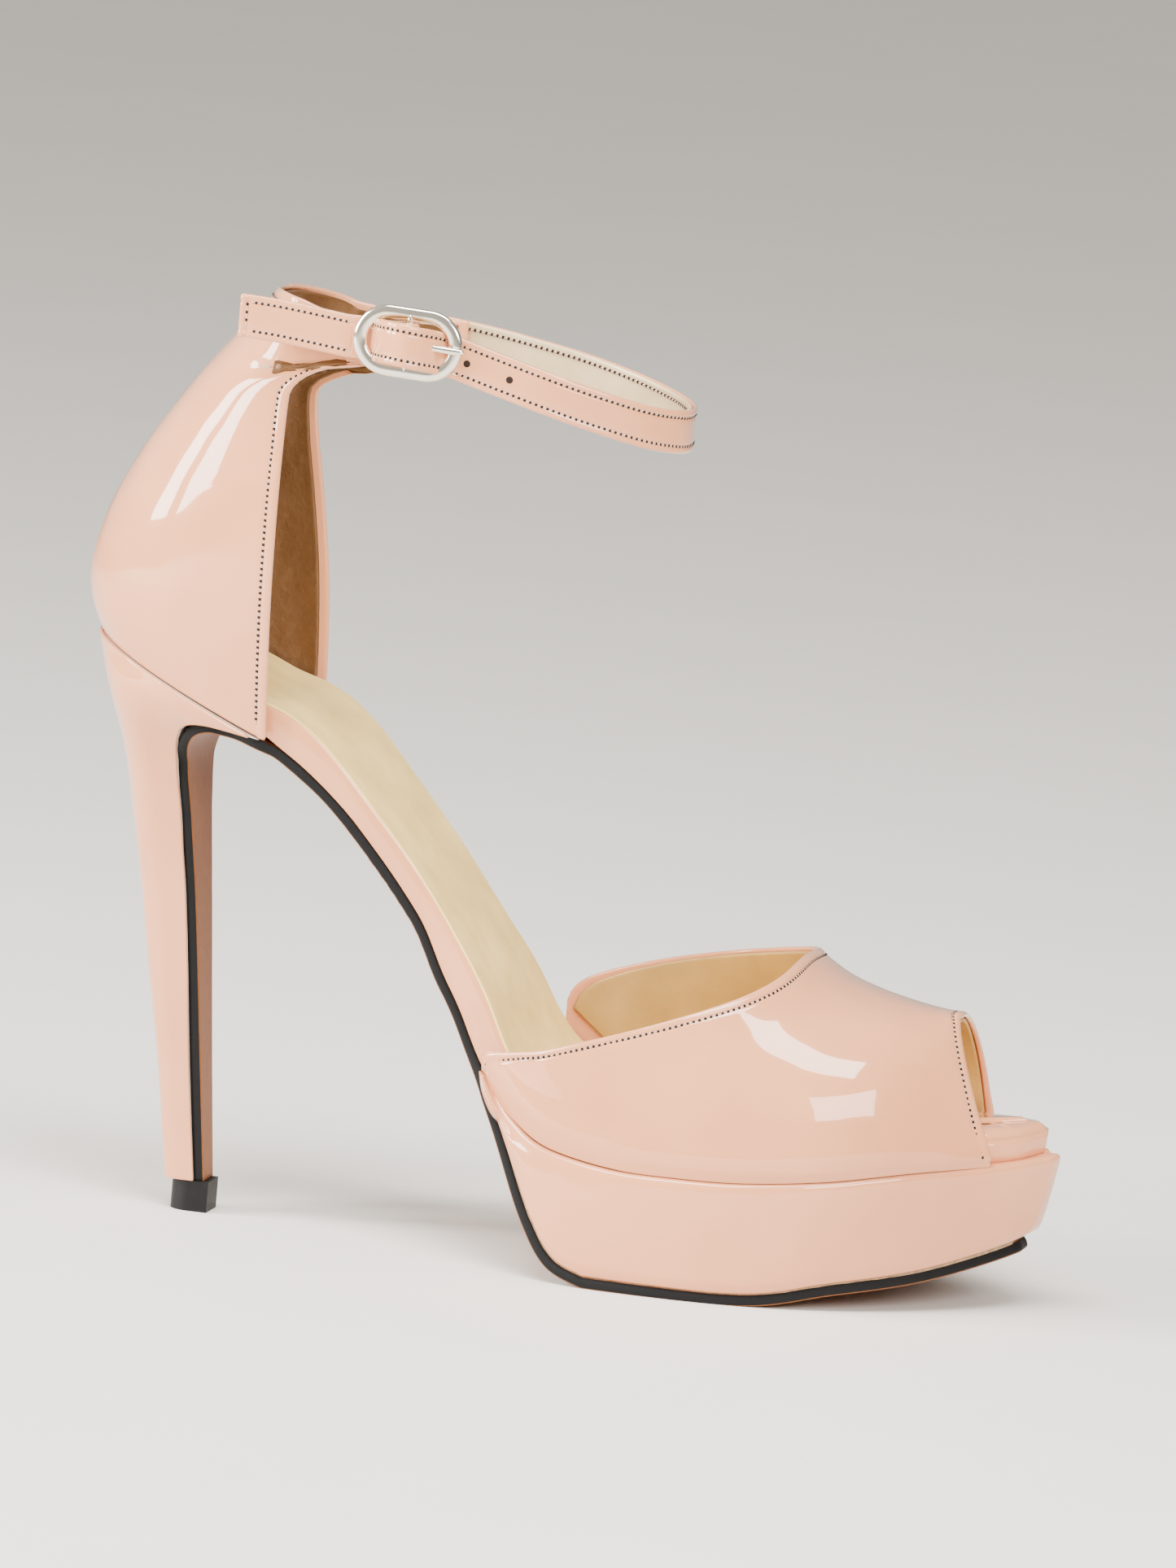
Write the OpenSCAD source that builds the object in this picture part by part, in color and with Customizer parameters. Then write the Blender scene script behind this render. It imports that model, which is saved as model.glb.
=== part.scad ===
// Platform peep-toe stiletto sandal with a closed counter and a buckled ankle strap, right foot.
// Millimetres. Origin: centre of the heel tip on the ground. +X to the toe, +Y to the inner
// (medial) side, +Z up. Seat, arch and platform are bands along one side line, cut to a plan
// outline; the soft upper is a set of curved sheets that share the same surfaces.

/* [Upper] */
// Thickness of the patent leather
leather = 1.1;      // [0.9:0.05:1.2]
// Thickness of the lining leather
lining = 0.8;       // [0.6:0.05:0.9]
// Height of the ankle strap
strap_h = 8;        // [7:0.25:8.5]

/* [Sole] */
// Thickness of the leather outsole
outsole_t = 2;      // [1.6:0.1:2]
// Thickness of the insole board
board_t = 1.5;      // [1.3:0.1:1.5]
// Width of the steel shank
shank_w = 11;       // [8:0.5:13]

/* [Heel] */
// Outside diameter of the steel tube in the heel
tube_d = 3.6;       // [3:0.1:3.8]
// Height of the top lift
lift_h = 6.5;       // [5:0.25:6.5]

/* [Buckle] */
// Overall length of the buckle frame
buckle_l = 23;      // [22.5:0.25:23.5]
// Width of the buckle's band
band_w = 2.9;       // [2.5:0.1:3]

/* [Hidden] */
$fn = 32;

gap = 0.1;          // room left between neighbouring layers
heel_unit_t = 5.2;  // thickness of the insole unit at the heel seat
board_depth = 2.9;  // from the unit's top down to the insole board's underside
board_top = heel_unit_t - board_depth + board_t;
sock_end = 158;     // the sock stops here, under the front of the vamp
ear_r = 7;          // radius of the fixed ears about the bend line
bar = [38, -33.1, 189.8];   // centre of the buckle's bar
tail_x = 25.6;      // where the free tail starts to bend

patent = [0.83, 0.66, 0.60];
gold = [0.86, 0.79, 0.62];
hide = [0.78, 0.62, 0.44];
steel = [0.75, 0.75, 0.77];
brass_tone = [0.88, 0.84, 0.72];
black = [0.08, 0.08, 0.08];

// ---- shared outlines -------------------------------------------------------

// Side line under the insole unit, heel seat to toe, as (x, z)
seat_line = smooth([[-28.4, 120.6], [-16, 116.2], [-2, 111], [8, 106.4], [14, 102.9], [21, 97.6],
  [31, 86.8], [41.6, 74.7], [51.8, 61.6], [57.9, 53], [63.3, 43.2], [68, 36.6], [74, 31.6],
  [82, 27.7], [96.8, 25.4], [110, 25.2], [124, 25.6], [141, 27.3], [157, 29.7], [172, 31.3],
  [183, 32.9]], 3);
// The insole unit's underside, hollowed a little under the arch, and its top
base_line = lift(seat_line, function (x) 2 * ease(16, 32, x) * (1 - ease(46, 56, x)));
top_line = lift(seat_line, function (x) heel_unit_t + 2 * ease(4, 16, x));

// Underside of the outsole: up the heel breast, over the arch and on to the toe, as (x, z)
under_line = smooth([[3, 6.7], [0.4, 33], [-2.6, 64], [-4.8, 84], [-5.8, 95], [-4.6, 100.3],
  [-1.2, 102.6], [3, 102.4], [8, 101.6], [14.2, 99.6], [20.9, 95.4], [26.4, 91], [32.2, 85.1],
  [38, 78.4], [44, 70.4], [50.2, 60.4], [56.4, 50.4], [61.4, 41.4], [68.7, 29.6], [77.4, 12.3],
  [83.9, 3.4], [92, 0]], 3);
toe_spring = smooth([[92, 0], [125, 0], [142.7, 3.3], [158.9, 6.3], [173, 10.8], [178.8, 13.4],
  [183, 15.6]], 3);
ground_line = concat(under_line, [for (p = toe_spring) if (p.x > 120) p]);

// Plan outline of the platform, as (x, distance from the middle line) on each side
plat_lateral = smooth([[58, 25.6], [64, 28.6], [72, 32.9], [82, 37.1], [95, 39.8], [110, 40.8],
  [125, 39.8], [140, 36.3], [152, 30.4], [162, 23], [170, 15.6], [176.5, 8], [181, 0.5]], 2);
plat_medial = smooth([[58, 25.6], [64, 28], [72, 31.2], [82, 34.8], [95, 38], [108, 39.3],
  [122, 38.8], [137, 36.4], [150, 31.8], [161, 25.8], [170, 19], [177, 11.5], [182, 3.5]], 2);

// Plan outline of the insole unit
sole_lateral = smooth([[-24.6, 0], [-23.3, 6.7], [-19.6, 12.3], [-13.6, 16.9], [-5.8, 20.4],
  [3.3, 22.6], [14, 23.2], [28, 22.4], [42, 21.6], [53, 22.6], [63, 25.4], [69, 27.2], [75, 30.2],
  [81, 33], [88, 35.2], [99, 37.1], [110, 37.8], [123, 37], [132, 35.1], [141, 31.8], [147, 28.2],
  [153, 23.5], [159, 18.5], [165, 13.4], [170, 10.8], [175, 6.2], [178.6, -2]], 2);
sole_medial = smooth([[-24.6, 0], [-23.3, 6.7], [-19.6, 12.3], [-13.6, 16.9], [-5.8, 20.4],
  [4, 22.5], [20, 22.8], [34, 22.2], [47, 21.4], [58, 21], [68, 24.4], [75, 27.8], [81, 30.4],
  [90, 33.5], [99, 35.4], [108, 36.4], [118, 36.1], [129, 34.6], [138, 32.2], [147, 28.2],
  [153, 24.7], [159, 20.9], [165, 17.2], [171, 13], [176, 8], [178.8, 3]], 2);

platform_plan = outline(plat_lateral, plat_medial);
insole_plan = outline(sole_lateral, sole_medial);
outsole_rear = concat([[10, 19], [10, -19]],
  [for (p = inset(insole_plan, 1)) if (p.x > 12 && p.x < 62 && p.y < 0) p], [[70, -22], [70, 22]],
  [for (p = inset(insole_plan, 1)) if (p.x > 12 && p.x < 62 && p.y > 0) p]);
outsole_front = narrowed(platform_plan, 1);

// Heel sections from the tip up: rear x, z, front x, z, half width
heel_rings = [[-5.4, 6.7, 0.8, 6.7, 4.1], [-8.9, 31, -1.9, 31, 5.1], [-12.4, 50, -3.5, 50, 6],
  [-15.2, 67, -5.1, 67, 7], [-18.4, 84, -7, 84, 8.8], [-20.4, 94.5, -8, 94, 11.5],
  [-22.4, 102, -7.6, 100.5, 15], [-24.6, 109, -5, 104.1, 19.5], [-26.8, 115.5, 1, 105, 23.5],
  [-28.4, 120.4, 12, 103.6, 26.6]];

// Heel cup rows from the seat up: back x, z, then the front edge on the lateral side and on the
// medial side as x, half width, z
cup_rows = [[-28.5, 120.7, 13, 26.8, 104.1, 13, 26.8, 104.1],
  [-31.3, 127, 12.6, 28.4, 118, 12.3, 28.2, 118],
  [-31.8, 135, 12.2, 29.4, 134, 11, 28.8, 133],
  [-28.6, 147, 12, 29.4, 151, 8.8, 28.4, 148.5],
  [-22.2, 160, 12, 28.6, 166, 6.6, 27.6, 162],
  [-13.5, 173.5, 12.2, 27.7, 176, 6.2, 26.8, 171],
  [-7.5, 181.5, 13.2, 27.3, 180.6, 9.5, 26.5, 175.2],
  [-4, 186, 17.6, 27.1, 181.6, 16.5, 26.3, 175.5],
  [-1.5, 189.2, 20.3, 26.9, 184.7, 20, 26.2, 178.6],
  [0.5, 191.6, 20.9, 26.8, 188.3, 20.9, 26.1, 182.5],
  [2.4, 193.6, 19.2, 26.7, 192.2, 19.2, 26, 186.6],
  [4, 195.2, 16.2, 26.6, 194.1, 16, 26, 188.5]];

// Ankle strap, from the front end of the buckle round the ankle to the medial ear, as (x, y, z)
strap_path = [[50.5, -29.9, 186.7], [58, -29.7, 184.6], [68, -28.2, 181.7], [77.5, -24.9, 178.9],
  [86, -19, 176.3], [90.8, -11.5, 175], [92, -4, 174.6], [90.3, 5, 174.9], [84.5, 13.5, 176],
  [75, 20.2, 178], [62.5, 24.6, 180.4], [48, 26.9, 182.6], [39, 27.8, 183.7], [32.5, 28.1, 184.3]];
// The same strap where it is threaded over the bar, from the tail to the front end
thread_path = [[25.8, -29.9, 189.6], [27.3, -29.9, 189.6], [29, -30.2, 189.7],
  [30.8, -32, 189.8], [32.6, -34.9, 189.9], [35, -37.3, 190], [38, -38.4, 189.8],
  [41, -37.3, 189.3], [43.3, -34.9, 188.8], [45, -32.3, 188.2], [46.7, -30.5, 187.7],
  [48.5, -29.9, 187.2], [50.5, -29.9, 186.7]];
tail_path = [[tail_x - 1.1, -29.95, 189.6], [18, -30.6, 190.4], [10, -31.6, 191.3],
  [2.6, -32.6, 191.8]];
tab_path = [[21.3, -26.9, 187.6], [27.5, -27.5, 188.5], [33, -28.8, 189.3], [36.2, -30.7, 189.7],
  [38.2, -31.35, 189.8], [39.3, -31.95, 189.8], [39.75, -33.1, 189.8], [39.3, -34.3, 189.8],
  [38.2, -34.85, 189.8], [36.4, -34.2, 189.8], [34.2, -32.1, 189.7], [31.8, -30.1, 189.3]];
ear_path = [[21.3, 26.2, 182.1], [28, 26.4, 183], [36.5, 26.4, 184]];

// ---- shape helpers -----------------------------------------------------------

function blend4(a, b, c, d, t) = 0.5 * ((2 * b) + (c - a) * t + (2 * a - 5 * b + 4 * c - d) * t * t
  + (3 * b - a - 3 * c + d) * t * t * t);
// Smooth curve through the given points, n steps between neighbours
function smooth(p, n) = [for (i = [0 : (len(p) - 1) * n])
  curve_at(p, i / ((len(p) - 1) * n))];
function curve_at(p, t) = let (m = len(p) - 1, s = min(m - 1, floor(t * m)), f = t * m - s)
  blend4(p[max(0, s - 1)], p[s], p[s + 1], p[min(m, s + 2)], f);
function unit(v) = v / norm(v);
function turned(v) = [-v.y, v.x];
function along(p, i) = unit(p[min(len(p) - 1, i + 1)] - p[max(0, i - 1)]);
// 0 up to a, 1 from b on, with a smooth step between
function ease(a, b, x) = let (t = max(0, min(1, (x - a) / (b - a)))) t * t * (3 - 2 * t);
// A line moved to its left, up and away from the ground: d is a distance or a function of x
function lift(p, d) = [for (i = [0 : len(p) - 1])
  p[i] + turned(along(p, i)) * (is_num(d) ? d : d(p[i].x))];
function back(p) = [for (i = [len(p) - 1 : -1 : 0]) p[i]];
// Closed plan outline from the two sides: lateral is -Y
function outline(lat, med) = concat([for (p = lat) [p.x, -p.y]],
  [for (p = back(med)) if (p.y > 0.01) p]);
function inset(p, d) = let (n = len(p)) [for (i = [0 : n - 1])
  p[i] + turned(unit(p[(i + 1) % n] - p[(i + n - 1) % n])) * d];
// Outline moved in by d, without the loops a big move makes at the pointed toe
function narrowed(p, d) = let (tip = max([for (q = p) q.x]))
  [for (q = inset(p, d)) if (q.x < tip - 2 * d) q];
function height_at(line, x) = lookup(x, [for (p = line) [p.x, p.y]]);

module between(low_line, high_line)
  translate([0, 70, 0]) rotate([90, 0, 0]) linear_extrude(140)
    polygon(concat(low_line, back(high_line)));
module plan(points) linear_extrude(200) polygon(points);
// The platform's walls lean forward a little as they rise
lean = 0.2;
module leaning_plan(points)
  multmatrix([[1, 0, lean, -lean * 32], [0, 1, 0, 0], [0, 0, 1, 0]]) plan(points);

// Closed solid through a list of rings of equal length, each turning the same way
module loft(rings) {
  n = len(rings);
  m = len(rings[0]);
  function mid(r) = [for (k = [0 : 2]) [for (p = r) p[k]] * [for (p = r) 1] / m];
  polyhedron(
    points = concat([for (r = rings) for (p = r) p], [mid(rings[0]), mid(rings[n - 1])]),
    faces = concat(
      [for (i = [0 : n - 2]) for (k = [0 : m - 1]) let (a = i * m + k, b = i * m + (k + 1) % m)
        each [[a, a + m, b + m], [a, b + m, b]]],
      [for (k = [0 : m - 1]) [n * m, k, (k + 1) % m]],
      [for (k = [0 : m - 1]) [n * m + 1, (n - 1) * m + (k + 1) % m, (n - 1) * m + k]]));
}

// Curved sheet: f(u, v) is its surface for u and v in 0 to 1; it fills low(u, v) to high(u, v)
// measured along the surface's normal
module sheet(f, nu, nv, low, high) {
  e = 0.002;
  function away(u, v) = unit(cross(f(min(1, u + e), v) - f(max(0, u - e), v),
    f(u, min(1, v + e)) - f(u, max(0, v - e))));
  grid = [for (j = [0 : nv]) for (i = [0 : nu]) let (u = i / nu, v = j / nv)
    [f(u, v), away(u, v), u, v]];
  n = len(grid);
  function o(i, j) = j * (nu + 1) + i;
  function q(i, j) = n + o(i, j);
  polyhedron(
    points = concat([for (g = grid) g[0] + g[1] * high(g[2], g[3])],
      [for (g = grid) g[0] + g[1] * low(g[2], g[3])]),
    faces = concat(
      [for (j = [0 : nv - 1]) for (i = [0 : nu - 1]) each [
        [o(i, j), o(i, j + 1), o(i + 1, j + 1)], [o(i, j), o(i + 1, j + 1), o(i + 1, j)],
        [q(i, j), q(i + 1, j + 1), q(i, j + 1)], [q(i, j), q(i + 1, j), q(i + 1, j + 1)]]],
      [for (i = [0 : nu - 1]) each [
        [o(i, 0), o(i + 1, 0), q(i + 1, 0)], [o(i, 0), q(i + 1, 0), q(i, 0)],
        [o(i + 1, nv), o(i, nv), q(i, nv)], [o(i + 1, nv), q(i, nv), q(i + 1, nv)]]],
      [for (j = [0 : nv - 1]) each [
        [o(0, j + 1), o(0, j), q(0, j)], [o(0, j + 1), q(0, j), q(0, j + 1)],
        [o(nu, j), o(nu, j + 1), q(nu, j + 1)], [o(nu, j), q(nu, j + 1), q(nu, j)]]]));
}

// Heel cup surface: s is -1 at the lateral front edge, 0 at the back seam, 1 at the medial one
function cup(s, h) = let (r = curve_at(cup_rows, h), a = abs(s) * 90, f = 1 - cos(a),
    k = s < 0 ? 2 : 5)
  [r[0] + (r[k] - r[0]) * f, sign(s) * r[k + 1] * pow(sin(a), 0.92), r[1] + (r[k + 2] - r[1]) * f];
// How much of the stiffener's thickness is left there; it is skived to nothing at its edges
function stiff(s, h) = max(0, min(1, 3.2 * (0.82 - abs(s)))) * max(0, min(1, 3.4 * (0.74 - h)));

// Vamp surface: side -1 is lateral, q is 0 on the ridge and 1 at the platform, v 0 at the throat
// and 1 at the toe opening
ridge = [[126, 68.4], [133, 64.7], [140.5, 62.4], [148, 60.9], [154, 60.2], [159.2, 60]];
function vamp_at(side, q, v) = let (
    a = 90 * q, c = cos(a), r = curve_at(ridge, v),
    xf = side < 0 ? 64.9 + 106.1 * v : 69.5 + 94.5 * v,
    x = xf + (r.x - xf) * ((1 - v) * pow(sin(90 * c), 1.2) + v * c),
    xm = x + (xf - x) * v,
    w = height_at(side < 0 ? plat_lateral : plat_medial, xm),
    full = side < 0 ? 0.46 + 0.51 * v : 0.21 + 0.76 * v,
    zs = height_at(seat_line, xm) + 0.15)
  [x, side * w * sin(a), zs + (r.y - zs) * pow(c, full)];
function vamp_across(u, v) = vamp_at(u < 0.5 ? -1 : 1, abs(2 * u - 1), v);

// A strip of height h along a path; u runs along it, v from its lower to its upper edge
function strip(path, u, v, h) = curve_at(path, u) + [0, 0, (v - 0.5) * h];
// The moving end of an ear or tab, hollowed round the bend line
function root_strip(path, u, v, h0, h1) = let (w = (v - 0.5) * (h0 + (h1 - h0) * min(1, 3 * u)),
    hollow = ear_r + 0.15 - sqrt(pow(ear_r + 0.15, 2) - w * w))
  curve_at(path, u) + [-hollow * pow(1 - u, 4), 0, w];

// ---- sole ----------------------------------------------------------------------

module outsole() color(black) intersection() {
  between(ground_line, lift(ground_line, outsole_t));
  union() {
    plan(outsole_rear);
    leaning_plan(outsole_front);
    // flap down the heel breast
    translate([-14, 0, 0]) rotate([90, 0, 90]) linear_extrude(24.5)
      polygon([for (s = [1, -1]) for (p = s > 0 ? flap_side : back(flap_side)) [s * p.x, p.y]]);
  }
}
flap_side = [[3.9, 6.6], [4.9, 31], [5.8, 50], [6.8, 67], [8.6, 84], [11.2, 95], [16, 100],
  [19, 102.5], [19, 106]];

function rear_cut(line, x) = [for (p = line) if (p.x > x) p];
module platform_solid(rear, wall)
  intersection() {
    between(rear_cut(lift(ground_line, outsole_t + gap), rear),
      [for (p = rear_cut(lift(seat_line, -0.05), rear)) [p.x, p.y - wall]]);
    leaning_plan(wall > 0 ? narrowed(platform_plan, wall) : platform_plan);
    translate([rear + 1, -60, 0]) cube([130, 120, 60]);
  }
module platform_core() color([0.72, 0.58, 0.42]) platform_solid(72, leather + gap);
module platform_cover() color(patent) difference() {
  platform_solid(65, 0);
  intersection() {
    translate([0, 0, -leather]) between(lift(seat_line, -35), lift(seat_line, -0.05));
    leaning_plan(narrowed(platform_plan, leather));
    translate([73 - gap, -60, 0]) cube([120, 120, 60]);
  }
}

// Part of the insole unit between two lines, moved in from its outline
module insole_layer(low_line, high_line, in) intersection() {
  between(low_line, high_line);
  plan(narrowed(insole_plan, in));
}
module behind(end) intersection() {
  children();
  translate([-60, -60, 0]) cube([end + 60, 120, 200]);
}
function from_base(d) = lift(base_line, d);
function from_top(d) = lift(top_line, d);
module insole_wrap() color(patent) difference() {
  insole_layer(from_base(0.05), top_line, 0);
  insole_layer(from_base(0.95), from_top(-0.9), 0.9);
  insole_layer(from_base(-0.3), from_base(1.6), 7);
  behind(sock_end - 1) insole_layer(from_top(-2), from_top(0.4), 5);
}
module insole_board() color(hide) difference() {
  insole_layer(from_top(-board_depth), from_top(board_t - board_depth), 1.2);
  heel_fastening(0.05);
}
module sock_padding() color([0.9, 0.88, 0.8]) difference() {
  union() {
    insole_layer(from_top(-1.3), from_top(-1), 1.3);
    behind(sock_end - 1.3) insole_layer(from_top(-1.3), from_top(-0.05), 5.3);
  }
  seat_frame() {
    translate([-1, 0, 3]) cylinder(r = 4.8, h = 12);
    for (p = nail_spots) translate([p.x, p.y, 3]) cylinder(r = 2, h = 1.65);
  }
}
module sock_lining() color(gold) behind(sock_end)
  insole_layer(from_top(0.05), from_top(0.05 + lining), 0.6);
module shank() color(steel) intersection() {
  between(from_top(-4.1), from_top(-board_depth - gap));
  translate([0, -shank_w / 2, 0]) cube([66, shank_w, 200]);
}
module forepart_filler() color([0.62, 0.45, 0.3]) intersection() {
  insole_layer(from_base(0.15), from_top(-board_depth - 0.15), 7.3);
  translate([70, -60, 0]) cube([101, 120, 200]);
}

// ---- heel ----------------------------------------------------------------------

// Point of the heel at height v and angle a from its back: the rear is round, the breast is flat,
// and towards the top the section takes the outline of the heel cup
breast_a = 150;
function heel_point(v, a) = let (
    r = curve_at(heel_rings, v),
    edge = (1 + cos(breast_a)) / 2,
    q = abs(a) * 90 / breast_a,
    cupped = ease(0.7, 1, v),
    t = (1 - cupped) * max(0, (1 + cos(a)) / 2 - edge) / (1 - edge) + cupped * cos(q),
    wide = (1 - cupped) * (abs(a) > 90 ? 1 : pow(abs(sin(a)), 0.8)) + cupped * pow(sin(q), 0.92))
  [r[2] + (r[0] - r[2]) * t, -sign(a) * r[4] * wide, r[3] + (r[1] - r[3]) * t];
module heel_block() color([0.85, 0.83, 0.78]) difference() {
  loft([for (v = [0 : 1 / 18 : 1.001])
    [for (k = [-12 : 12]) heel_point(min(1, v), breast_a * k / 12)]]);
  heel_axis() translate([0, 0, -1]) cylinder(d = tube_d + 0.1, h = 79);
  heel_fastening(0.05);
}
// The cover goes round the back and sides and stops at the flap on the breast
function heel_skin(u, v) = heel_point(v * 0.985, -118 + 236 * u);
module heel_cover() color(patent)
  sheet(function (u, v) heel_skin(u, v), 22, 20, function (u, v) 0.12, function (u, v) 0.9);

// Frame of the steel tube: Z runs up the heel from the tip
module heel_axis() translate([-2.3, 0, 7]) rotate([0, -7.6, 0]) children();
module heel_tube() color(steel) heel_axis() difference() {
  translate([0, 0, 0.5]) cylinder(d = tube_d, h = 76);
  translate([0, 0, -1]) cylinder(d = tube_d - 1.2, h = 80);
}
lift_mid = -0.1;
module top_lift() color(black) difference() {
  linear_extrude(lift_h) union() {
    intersection() {
      translate([lift_mid, 0]) circle(r = 4.4, $fn = 48);
      translate([-10, -5]) square([10, 10]);
    }
    translate([lift_mid - 0.1, -4.4]) square([4.3, 8.8]);
  }
  pin_frame() translate([0, 0, 2]) cylinder(d = 2.3, h = 20);
}
module pin_frame() heel_axis() translate([0, 0, -7]) children();
module top_lift_pin() color(steel) pin_frame() translate([0, 0, 2.1]) cylinder(d = 2.2, h = 18);

// Frame on the heel seat: Z is square to the seat, origin on the side line
module seat_frame() translate([-9, 0, 113.7]) rotate([0, 21.5, 0]) children();
nail_spots = [[-4, 7.5], [-4, -7.5], [5, 11], [5, -11]];
module nail(r, extra) {
  translate([0, 0, -9 - extra]) cylinder(r = r, h = 13 + 2 * extra);
  translate([0, 0, board_top + 0.02 - extra]) cylinder(r = r + 0.9, h = 0.55 + 2 * extra);
}
module heel_fastening(slack) seat_frame() {
  for (p = nail_spots) translate([p.x, p.y, 0]) nail(0.85 + slack, slack);
  translate([0, 0, -20 - slack]) cylinder(r = 1.9 + slack, h = 24.4);
  translate([0, 0, board_top - 0.3]) cylinder(r = 3.6 + slack, h = 3);
}
module heel_screw() color(steel) seat_frame() difference() {
  union() {
    translate([0, 0, -20]) cylinder(r = 1.9, h = 24);
    translate([0, 0, board_top + 0.02]) cylinder(r = 3.6, h = 1.2);
  }
  translate([-2.4, -0.35, 4.6]) cube([4.8, 0.7, 2]);
  translate([-0.35, -2.4, 4.6]) cube([0.7, 4.8, 2]);
}
module heel_nails() color(steel) seat_frame()
  for (p = nail_spots) translate([p.x, p.y, 0]) nail(0.85, 0);

// ---- upper ---------------------------------------------------------------------

module vamp() color(patent)
  sheet(function (u, v) vamp_across(u, v), 32, 12, function (u, v) 0, function (u, v) leather);
module vamp_lining() color(gold)
  sheet(function (u, v) vamp_across(0.003 + 0.994 * u, 0.012 + 0.976 * v), 32, 12,
    function (u, v) leather + 3 * gap, function (u, v) leather + 3 * gap + lining);

// s0 and s1 are the ends along the cup; the sheet's normal points into the shoe
module quarter(s0, s1) color(patent)
  sheet(function (u, v) cup(s0 + (s1 - s0) * u, v), 14, 26,
    function (u, v) 0, function (u, v) leather);
module quarter_lateral() quarter(-1, -0.003);
module quarter_medial() quarter(0.003, 1);
stiff_t = 1;
module counter_stiffener() color([0.8, 0.78, 0.7])
  sheet(function (u, v) cup(-0.8 + 1.6 * u, 0.01 + 0.7 * v), 26, 14,
    function (u, v) leather + 1.6 * gap,
    function (u, v) leather + 2.2 * gap + stiff_t * stiff(-0.8 + 1.6 * u, 0.01 + 0.7 * v));
module counter_lining() color(gold)
  sheet(function (u, v) cup(-0.985 + 1.97 * u, 0.008 + 0.984 * v), 26, 22,
    function (u, v) lining_face(u, v), function (u, v) lining_face(u, v) + lining);
function lining_face(u, v) = let (s = -0.985 + 1.97 * u, h = 0.008 + 0.984 * v)
  leather + 4 * gap + stiff_t * stiff(s, h);

// ---- strap and buckle ------------------------------------------------------------

ear_h = 10.5;
module strap_ear_medial() color(patent)
  sheet(function (u, v) root_strip(ear_path, u, v, ear_h, strap_h), 12, 4,
    function (u, v) -leather / 2, function (u, v) leather / 2);
module buckle_tab() color(patent) difference() {
  sheet(function (u, v) root_strip(tab_path, u, v, ear_h, strap_h - 0.6), 40, 4,
    function (u, v) -0.5, function (u, v) 0.5);
  // slot for the prong
  translate(bar + [-2.4, -3, -1.3]) cube([6.8, 6, 2.6]);
}
whole_strap = concat(smooth(thread_path, 3), [for (i = [1 : 3 * (len(strap_path) - 1)])
  smooth(strap_path, 3)[i]]);
strap_hole_r = 1.1;
module strap_sheet(from, low, high)
  sheet(function (u, v) strip(whole_strap, u * from, v, strap_h), 86, 3,
    function (u, v) low, function (u, v) high);
module prong_slot() translate(bar + [2.6, -4.2, -strap_hole_r]) cube([5.6, 4.6, 2 * strap_hole_r]);
module punched_holes() for (p = [[33.4, -20, 190.6], [50.2, -20, 186.6], [59.3, -20, 184.2]])
  translate(p) rotate([90, 0, 0]) cylinder(r = 0.6, h = 20, $fn = 16);
// Where the strap's edges are nipped to pass through the round ends of the frame
module frame_room() buckle_place() linear_extrude(3.1, center = true) difference() {
  for (s = [1, -1]) translate([s * straight / 2, 0]) circle(r = end_r + band_w / 2 + 0.3);
  hull() for (s = [1, -1]) translate([s * straight / 2, 0]) circle(r = end_r - band_w / 2 - 0.3);
}
module strap_openings() {
  prong_slot();
  punched_holes();
  frame_room();
}
module ankle_strap() color(patent) difference() {
  strap_sheet(1, 0, 0.95);
  strap_openings();
}
module strap_lining() color(gold) difference() {
  strap_sheet(0.965, -0.85, -0.1);
  strap_openings();
}
module strap_tail() color(patent)
  sheet(function (u, v) strip(tail_path, 1 - u, v, strap_h), 8, 3,
    function (u, v) 0, function (u, v) 0.95);
module tail_lining() color(gold)
  sheet(function (u, v) strip(tail_path, 1 - u, v, strap_h), 8, 3,
    function (u, v) -0.85, function (u, v) -0.1);

buckle_h = 14.8;
frame_t = 1.8;
end_r = buckle_h / 2 - band_w / 2;
straight = buckle_l - buckle_h;
module band_profile() intersection() {
  circle(r = 1.75, $fn = 32);
  square([band_w, frame_t], center = true);
}
// Buckle frame lies in its own XY plane here: X along the strap, Z away from the shoe
module buckle_place() translate(bar) rotate([90, 2.5, 0]) children();
module buckle_frame() color(brass_tone) buckle_place() {
  for (s = [1, -1]) {
    translate([s * straight / 2, 0, 0]) rotate([0, 0, s * 90 - 180])
      rotate_extrude(angle = 180, $fn = 64) translate([end_r, 0]) band_profile();
    translate([-straight / 2, s * end_r, 0]) rotate([90, 0, 90])
      linear_extrude(straight) band_profile();
  }
  rotate([90, 0, 0]) translate([0, 0, -end_r]) cylinder(r = 0.9, h = 2 * end_r);
}
module buckle_prong() color(brass_tone) buckle_place() difference() {
  union() {
    rotate([90, 0, 0]) translate([0, 0, -0.9]) cylinder(r = 1.8, h = 1.8);
    translate([0.6, 0, 1.05]) rotate([0, 84.6, 0]) cylinder(r = 0.8, h = 11.4);
  }
  rotate([90, 0, 0]) translate([0, 0, -3]) cylinder(r = 0.96, h = 6);
}

// ---- nodes ---------------------------------------------------------------------

outsole();
platform_core();
platform_cover();
forepart_filler();
insole_board();
shank();
insole_wrap();
sock_padding();
sock_lining();
heel_block();
heel_cover();
heel_tube();
top_lift();
top_lift_pin();
heel_screw();
heel_nails();
vamp();
vamp_lining();
quarter_lateral();
quarter_medial();
counter_stiffener();
counter_lining();
strap_ear_medial();
buckle_tab();
ankle_strap();
strap_lining();
strap_tail();
tail_lining();
buckle_frame();
buckle_prong();
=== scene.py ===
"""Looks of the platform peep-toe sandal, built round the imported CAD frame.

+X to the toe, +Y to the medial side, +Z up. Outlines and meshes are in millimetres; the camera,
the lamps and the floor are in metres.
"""

import math

import bpy
import numpy as np
from mathutils import Matrix, Vector

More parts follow.
